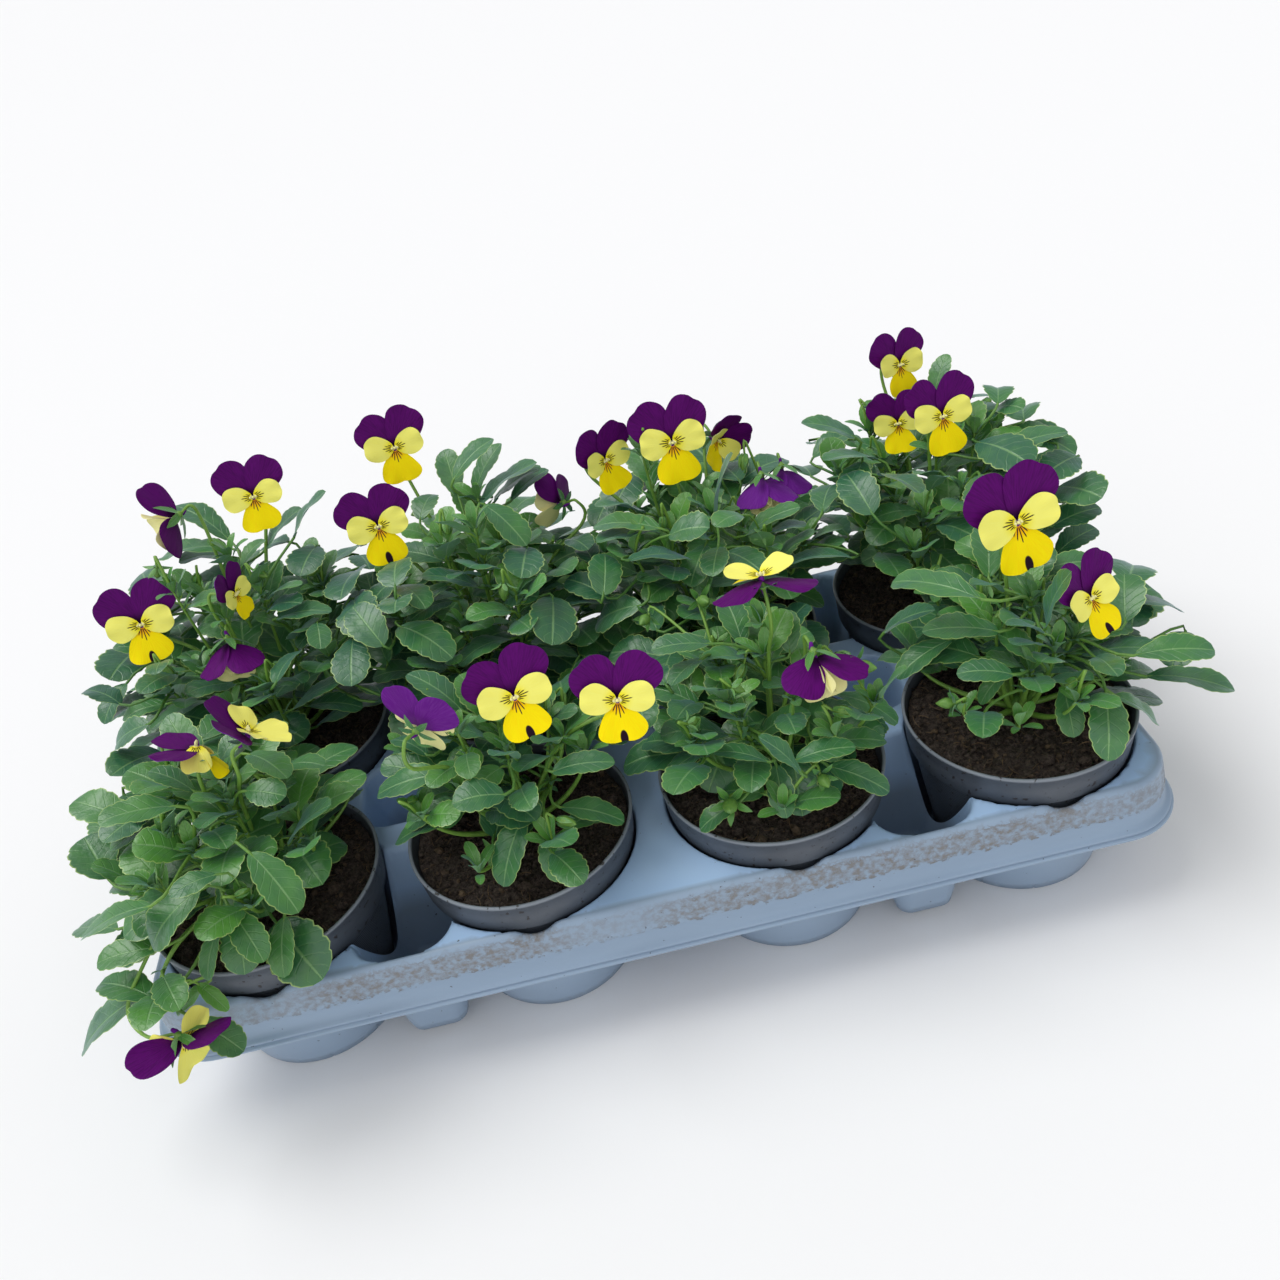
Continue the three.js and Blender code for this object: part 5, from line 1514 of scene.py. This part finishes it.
# %% Stem finish
# A stem is smooth and juicy, a little streaked along its length, and brighter when young.
stem_skin, tree, shader = finish("juicy_green_stem", Roughness=0.42, IOR=1.45)
age = add(tree, "Attribute", out=attribute_value, attribute_name="mark")
place = add(tree, "TexCoord", out=object_place)
streaks = add(tree, "Mapping", {"Vector": place, "Scale": (700, 700, 90)})
streaks = remap(tree, noise(tree, streaks, 1.0, 2), 0.3, 0.7, -0.2, 0.2)
ripeness = maths(tree, "ADD", age, streaks, use_clamp=True)
dress(tree, shader, blend(tree, ripeness, "#4c7a38", "#7ea845"), streaks, 0.4, 0.0004)

# %% Plant pieces
plant_paints = [*leaf_paints, stem_skin]
plant_age = {"a1": 0.16, "a2": 0.0, "a3": 0.0, "a4": 0.02,
             "b1": 0.0, "b2": 0.02, "b3": 0.03, "b4": 0.05}
for number, (name, centre) in enumerate(centre_of.items()):
    draw = dice(900 + number)
    stems, leaves, missed = plants[name]
    cad_count = len(leaves)
    neighbours = [leaf for other in plants if other != name for leaf in plants[other][1]
                  if np.all(np.abs(leaf["tip"] - centre)[:2] < pot_pitch / 2 + 45)]
    shoots = shoot_paths(centre, draw)
    if name == "a1":
        shoots.append(bow_curve(*(centre + np.array(trailing_shoot)), stem_points))
        leaves += [hanging_leaf(centre, shoots, *row) for row in trailing_leaves]
    paths = stems + shoots
    late = missed + late_leaves.get(name, [])
    missed_leaves(late, centre, paths, leaves, neighbours, draw)
    shoot_leaves(centre, paths, leaves, neighbours, draw)
    dome_leaves(centre, paths, leaves, neighbours, draw, dome_count)
    inner_leaves(centre, paths, leaves, neighbours, draw, inner_count[name[0]])
    shapes = [tube(path, np.linspace(2.2, 0.8, stem_points), 7, stem_part, 0.6) for path in stems]
    shapes += [tube(path, np.linspace(1.9, 0.7, stem_points), 6, stem_part, 0.7)
               for path in shoots]
    for path in paths:
        shapes += tuft(path, draw)
    crown = centre + np.outer([80, 90, 97, 101, 104], up)
    shapes.append(tube(crown, [5, 5.6, 6, 5, 2.5], 10, stem_part, 0.3))
    for leaf in leaves:
        shapes += whole_leaf(leaf, plant_age[name], draw)
    for bloom, place, turns in zip(blooms, bloom_places, bloom_turns):
        if bloom[0] == name:
            shapes += flower_stalk(bloom, place, bloom_axes(*turns))
    for path in shoots[::2]:
        shapes += tip_bud(path, draw)
    for pot, *pod in pods:
        if pot == name:
            shapes += placed_pod(centre, paths, *pod)
    make_piece("foliage_" + name + "_leaves", join(shapes), plant_paints,
               ["foliage_" + name])
    print("it has", cad_count, "leaves of the CAD and", len(leaves) - cad_count, "more")

# %% [markdown]
# ## Petals
# A pansy's face has five petals: two upper ones behind, two side ones, and a wide lower
# one with a notch. Each is a thin closed sheet on a grid that runs out from the throat.
# Its flat map holds the real place on the petal, so that the finish can draw whiskers
# that radiate from the throat, whatever way the petal bends.

# %% Kinds of petal
map_span = 60.0                                    # how many millimetres the flat map spans
petal_kinds = {  # side, length, half width, powers p and q, layer, notch, finish
    "upper_left": (-1, 30.0, 12.9, 0.72, 0.42, -1.9, 0.8, 0),
    "upper_right": (1, 30.0, 12.9, 0.72, 0.42, -1.1, 0.8, 0),
    "side_left": (-1, 20.6, 8.9, 0.68, 0.45, 0.9, 0.5, 1),
    "side_right": (1, 20.6, 8.9, 0.68, 0.45, 0.9, 0.5, 1),
    "lower": (1, 24.6, 13.7, 0.92, 0.36, 0.1, 1.1, 2)}


def open_pose(closing):
    """The angle from the top, the closing angle and the roll of each kind of petal."""
    return {"upper": (40, closing, 0), "side": (84, closing, 0), "lower": (180, closing, 0)}


print("an open bloom's petals:", open_pose(6))

# %% One petal


def petal(kind, place, axes, size, pose, chance, mark):
    """Row t goes out along the petal's own axis and column s across it. The half width is
    (t/m)^p ((1-t)/(1-m))^q. The whole petal leans forwards by its closing angle and rolls
    about its axis, curls with the square of its reach, and ruffles with waves at the rim."""
    sign, length, wide, p, q, layer, notch, paint = petal_kinds[kind]
    facing, right, top = axes
    angle, closing, roll = np.radians(pose.get(kind, pose[kind.split("_")[0]]))
    angle = sign * angle + np.radians(chance.uniform(-4, 4))
    outward = top * np.cos(angle) + right * np.sin(angle)
    axis = outward * np.cos(closing) + facing * np.sin(closing)
    normal = facing * np.cos(closing) - outward * np.sin(closing)
    across = np.cross(axis, normal)
    across, normal = (across * np.cos(roll) + sign * normal * np.sin(roll),
                      normal * np.cos(roll) - sign * across * np.sin(roll))
    rows, columns = 15, 13
    t = np.sin(np.linspace(0.05, 0.975, rows) * np.pi / 2)[:, None]
    s = np.sin(np.linspace(-1, 1, columns) * np.pi / 2)[None]
    m = p / (p + q)
    length, wide = length * chance.uniform(0.96, 1.03), wide * chance.uniform(0.95, 1.05)
    uneven = 1 + 0.03 * np.sin(9 * t + 2 * np.sign(s) + chance.uniform(0, 6.3))
    half = wide * (t / m) ** p * ((1 - t) / (1 - m)) ** q * uneven
    b = half * s
    a = length * t - notch * t ** 6 * np.exp(-(b / 2.6) ** 2)
    out, turn = np.hypot(a, b) / length, np.arctan2(b, a)
    curl = chance.uniform(-2.2, 0.6) if paint == 0 else chance.uniform(-1.8, 1.2)
    ruffle = np.sin(chance.uniform(8, 13) * turn + chance.uniform(0, 6.3))
    depth = curl * out ** 2 + 0.7 * out ** 3 * ruffle
    depth = depth + (5 * np.sin(closing) - 0.8) * (b / wide) ** 2 * out

    def put(a, b, depth):
        """From petal millimetres to the tray's frame."""
        a, b, depth = (np.asarray(value)[..., None] for value in (a, b, depth))
        return place + facing * layer + size * (axis * a + across * b + normal * depth)
    front = put(a, b, depth)
    back = front[:, 1:-1] - normal * 0.38 * (1 - s[..., 1:-1, None] ** 2 * 0.5)
    tip = put(length - notch, 0.0, depth[-1, columns // 2])
    base = place + facing * (layer - 0.2)
    points = np.vstack([front.reshape(-1, 3), back.reshape(-1, 3), base[None], tip[None]])
    index = np.arange(rows * columns).reshape(rows, columns)
    behind = rows * columns + np.arange(rows * (columns - 2)).reshape(rows, columns - 2)
    behind = np.hstack([index[:, :1], behind, index[:, -1:]])
    ends = len(points) - 2, len(points) - 1
    fronts, backs = skin(index, *ends), skin(behind, *ends, flip=True)
    flat = np.stack([0.5 + b / map_span, a / map_span], -1)
    flat = np.vstack([flat.reshape(-1, 2), flat[:, 1:-1].reshape(-1, 2),
                      [(0.5, 0), (0.5, (length - notch) / map_span)]])
    back_paint = 3 if paint == 0 else 4
    part = np.repeat([paint, back_paint], [len(fronts), len(backs)])
    return shape(points, np.vstack([fronts, backs]), flat, part, mark)


plain = petal("lower", 0 * up, bloom_axes(0, 0, 0), 1, open_pose(6), np.random.default_rng(0), 0)
print("a lower petal is", np.ptp(plain["points"][:, 0]).round(1), "mm wide")

# %% [markdown]
# ### Petal finishes
# Petals are matt and velvety, because tiny cones on their skin trap the light. The purple
# ones are darkest near the throat, with fine veins. The yellow ones carry short dark
# whiskers that guide bees to an orange throat, and the lower one may end in a dark spot.

# %% Whiskers and the dark spot


def whiskers(tree, tone, bearing, reach, step, end):
    """Dark lines at equal bearings, the shorter the further aside, and a white throat."""
    off = product(tree, maths(tree, "PINGPONG", bearing, step / 2), reach)
    line = remap(tree, off, 0.22, 0.38, 1.0, 0.0)
    limit = maths(tree, "MULTIPLY_ADD", maths(tree, "ABSOLUTE", bearing), 6.0, reach)
    ends = remap(tree, limit, end - 1.0, end, 1.0, 0.0)
    starts = remap(tree, reach, 2.2, 3.0)
    tone = blend(tree, product(tree, line, ends, starts), tone, "#2a0c22")
    return blend(tree, remap(tree, reach, 1.2, 2.2, 0.9, 0.0), tone, "#f1f2d6")


def dark_spot(tree, tone, spot):
    """An ellipse of 4.4 by 9.2 mm near the tip of a petal whose mark is one."""
    half_wide, half_long, reach = 2.2, 4.6, 21.4
    mark = add(tree, "Attribute", out=attribute_value, attribute_name="mark")
    drop = add(tree, "Mapping", {"Vector": spot, "Location": (0, -reach / half_long, 0),
                                 "Scale": (1 / half_wide, 1 / half_long, 0)})
    drop = add(tree, "VectorMath", {0: drop}, out=1, operation="LENGTH")
    drop = product(tree, remap(tree, drop, 0.9, 1.05, 1.0, 0.0), mark)
    return blend(tree, drop, tone, "#20061c")


# %% Petal finish
petal_paints = []
for name, edge, inner, whisker_step, whisker_end, sheen in (
        ("velvet_purple_petal", "#5a0468", "#2c0134", 0.0, 0.0, "#8a1a92"),
        ("pale_yellow_side_petal", "#fbf67a", "#f8ea12", 0.27, 8.6, "#ffffff"),
        ("strong_yellow_lower_petal", "#ffe800", "#ffac00", 0.28, 10.6, "#fff4a0"),
        ("violet_petal_back", "#631784", "#7a3796", 0.0, 0.0, "#b79ad0"),
        ("cream_petal_back", "#f0eba6", "#e3dca8", 0.0, 0.0, "#ffffff")):
    paint, tree, shader = finish(name, Roughness=0.62, IOR=1.4, Sheen_Weight=0.06,
                                 Sheen_Roughness=0.5, Sheen_Tint=colour(sheen),
                                 Specular_IOR_Level=0.15)
    flat = add(tree, "UVMap", uv_map="flat")
    spot = add(tree, "Mapping", {"Vector": flat, "Location": (-map_span / 2, 0, 0),
                                 "Scale": (map_span, map_span, 0.0)})
    x, y = (add(tree, "SeparateXYZ", {0: spot}, out=k) for k in (0, 1))
    reach = add(tree, "VectorMath", {0: spot}, out=1, operation="LENGTH")
    bearing = maths(tree, "ARCTAN2", x, y)
    near = remap(tree, reach, 2.5, 9.5, 1.0, 0.0, smooth=True)
    tone = blend(tree, near, edge, inner)
    # Fine veins fan out: noise that is stretched along the reach and fast across it.
    fan = add(tree, "CombineXYZ", {0: bearing, 1: reach})
    fan = add(tree, "Mapping", {"Vector": fan, "Scale": (26, 0.12, 1)})
    vein = noise(tree, fan, 1.0, 3)
    vein_strength = 0.35 if "purple" in name or "violet" in name else 0.12
    tone = blend(tree, remap(tree, vein, 0.42, 0.62, 0.0, vein_strength), tone, inner)
    if whisker_step:
        tone = whiskers(tree, tone, bearing, reach, whisker_step, whisker_end)
    if "lower" in name:
        tone = dark_spot(tree, tone, spot)
    dress(tree, shader, tone, vein, 0.35, 0.0004)
    petal_paints.append(paint)

# %% Which petals look different
spotted = {2, 6, 18, 19, 20, 21}                   # blooms whose lower petal ends in a dark spot
all_purple = {0, 4, 7, 13, 14, 25}                 # upper petals purple behind as well
all_cream = {0, 4, 11, 12, 14}                     # the others cream in front as well
pale_lower = {24, 25}                              # a lower petal as pale as the side ones
purple_paint, side_paint, lower_paint, violet_back, cream_back = range(5)
print(len(spotted), "blooms have a dark spot")


def repainted(kind, form, order):
    """The petal with the finishes that its bloom shows in the photograph."""
    upper_kind = kind.startswith("upper")
    if order in (all_purple if upper_kind else all_cream):
        form["part"] = np.full(len(form["faces"]), purple_paint if upper_kind else cream_back)
    if kind == "lower" and order in pale_lower:
        form["part"] = np.where(form["part"] == lower_paint, side_paint, form["part"])
    return form


# %% Throat and spur


def throat(place, facing, across):
    """A pale knob, and a white tuft of hairs on each side of it."""
    steps = np.outer([0.6, 1.3, 2.1, 2.6], facing)
    radii = np.array([0.7, 1.0, 0.9, 0.5])
    return [tube(place + side * across + steps, wide * radii, 7, cream_back)
            for side, wide in ((-1.7, 0.7), (0, 0.9), (1.7, 0.7))]


def spur(place, facing, low, size):
    """The hollow tail behind the lower petal, a bent tube."""
    path = np.array([place + 0.5 * low, place - 3 * facing + 1.6 * low,
                     place - 6.5 * facing + 1.2 * low, place - 9 * facing - 0.4 * low])
    return tube(path, size * np.array([1.6, 1.8, 1.5, 1.1]), 8, violet_back)


print("a throat is", len(throat(0 * up, up, up)), "tubes")

# %% Bloom pieces
numbers = dict.fromkeys(pot_names, 0)
for order, (bloom, place) in enumerate(zip(blooms, bloom_places)):
    pot, *_, closing, size = bloom
    numbers[pot] += 1
    node = "bloom_" + pot + "_" + str(numbers[pot])
    chance = np.random.default_rng(700 + order)
    pose = special_poses[order][1] if order in special_poses else open_pose(closing)
    place = place + hanging_shift if pose is hanging else place
    axes = facing, across, top = bloom_axes(*bloom_turns[order])
    spot_mark = float(order in spotted)
    made = {kind: repainted(kind, petal(kind, place, axes, size, pose, chance, spot_mark), order)
            for kind in petal_kinds}
    upper = [made["upper_left"], made["upper_right"], spur(place, facing, -top, size)]
    lower = [made["side_left"], made["side_right"], made["lower"],
             *throat(place, facing, across)]
    if node + "_upper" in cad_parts:
        make_piece(node + "_purple_petals", join(upper), petal_paints,
                   [node + "_upper"])
        make_piece(node + "_yellow_petals", join(lower), petal_paints,
                   [node + "_lower"])
    else:
        make_piece(node + "_petals", join(upper + lower), petal_paints, [node])
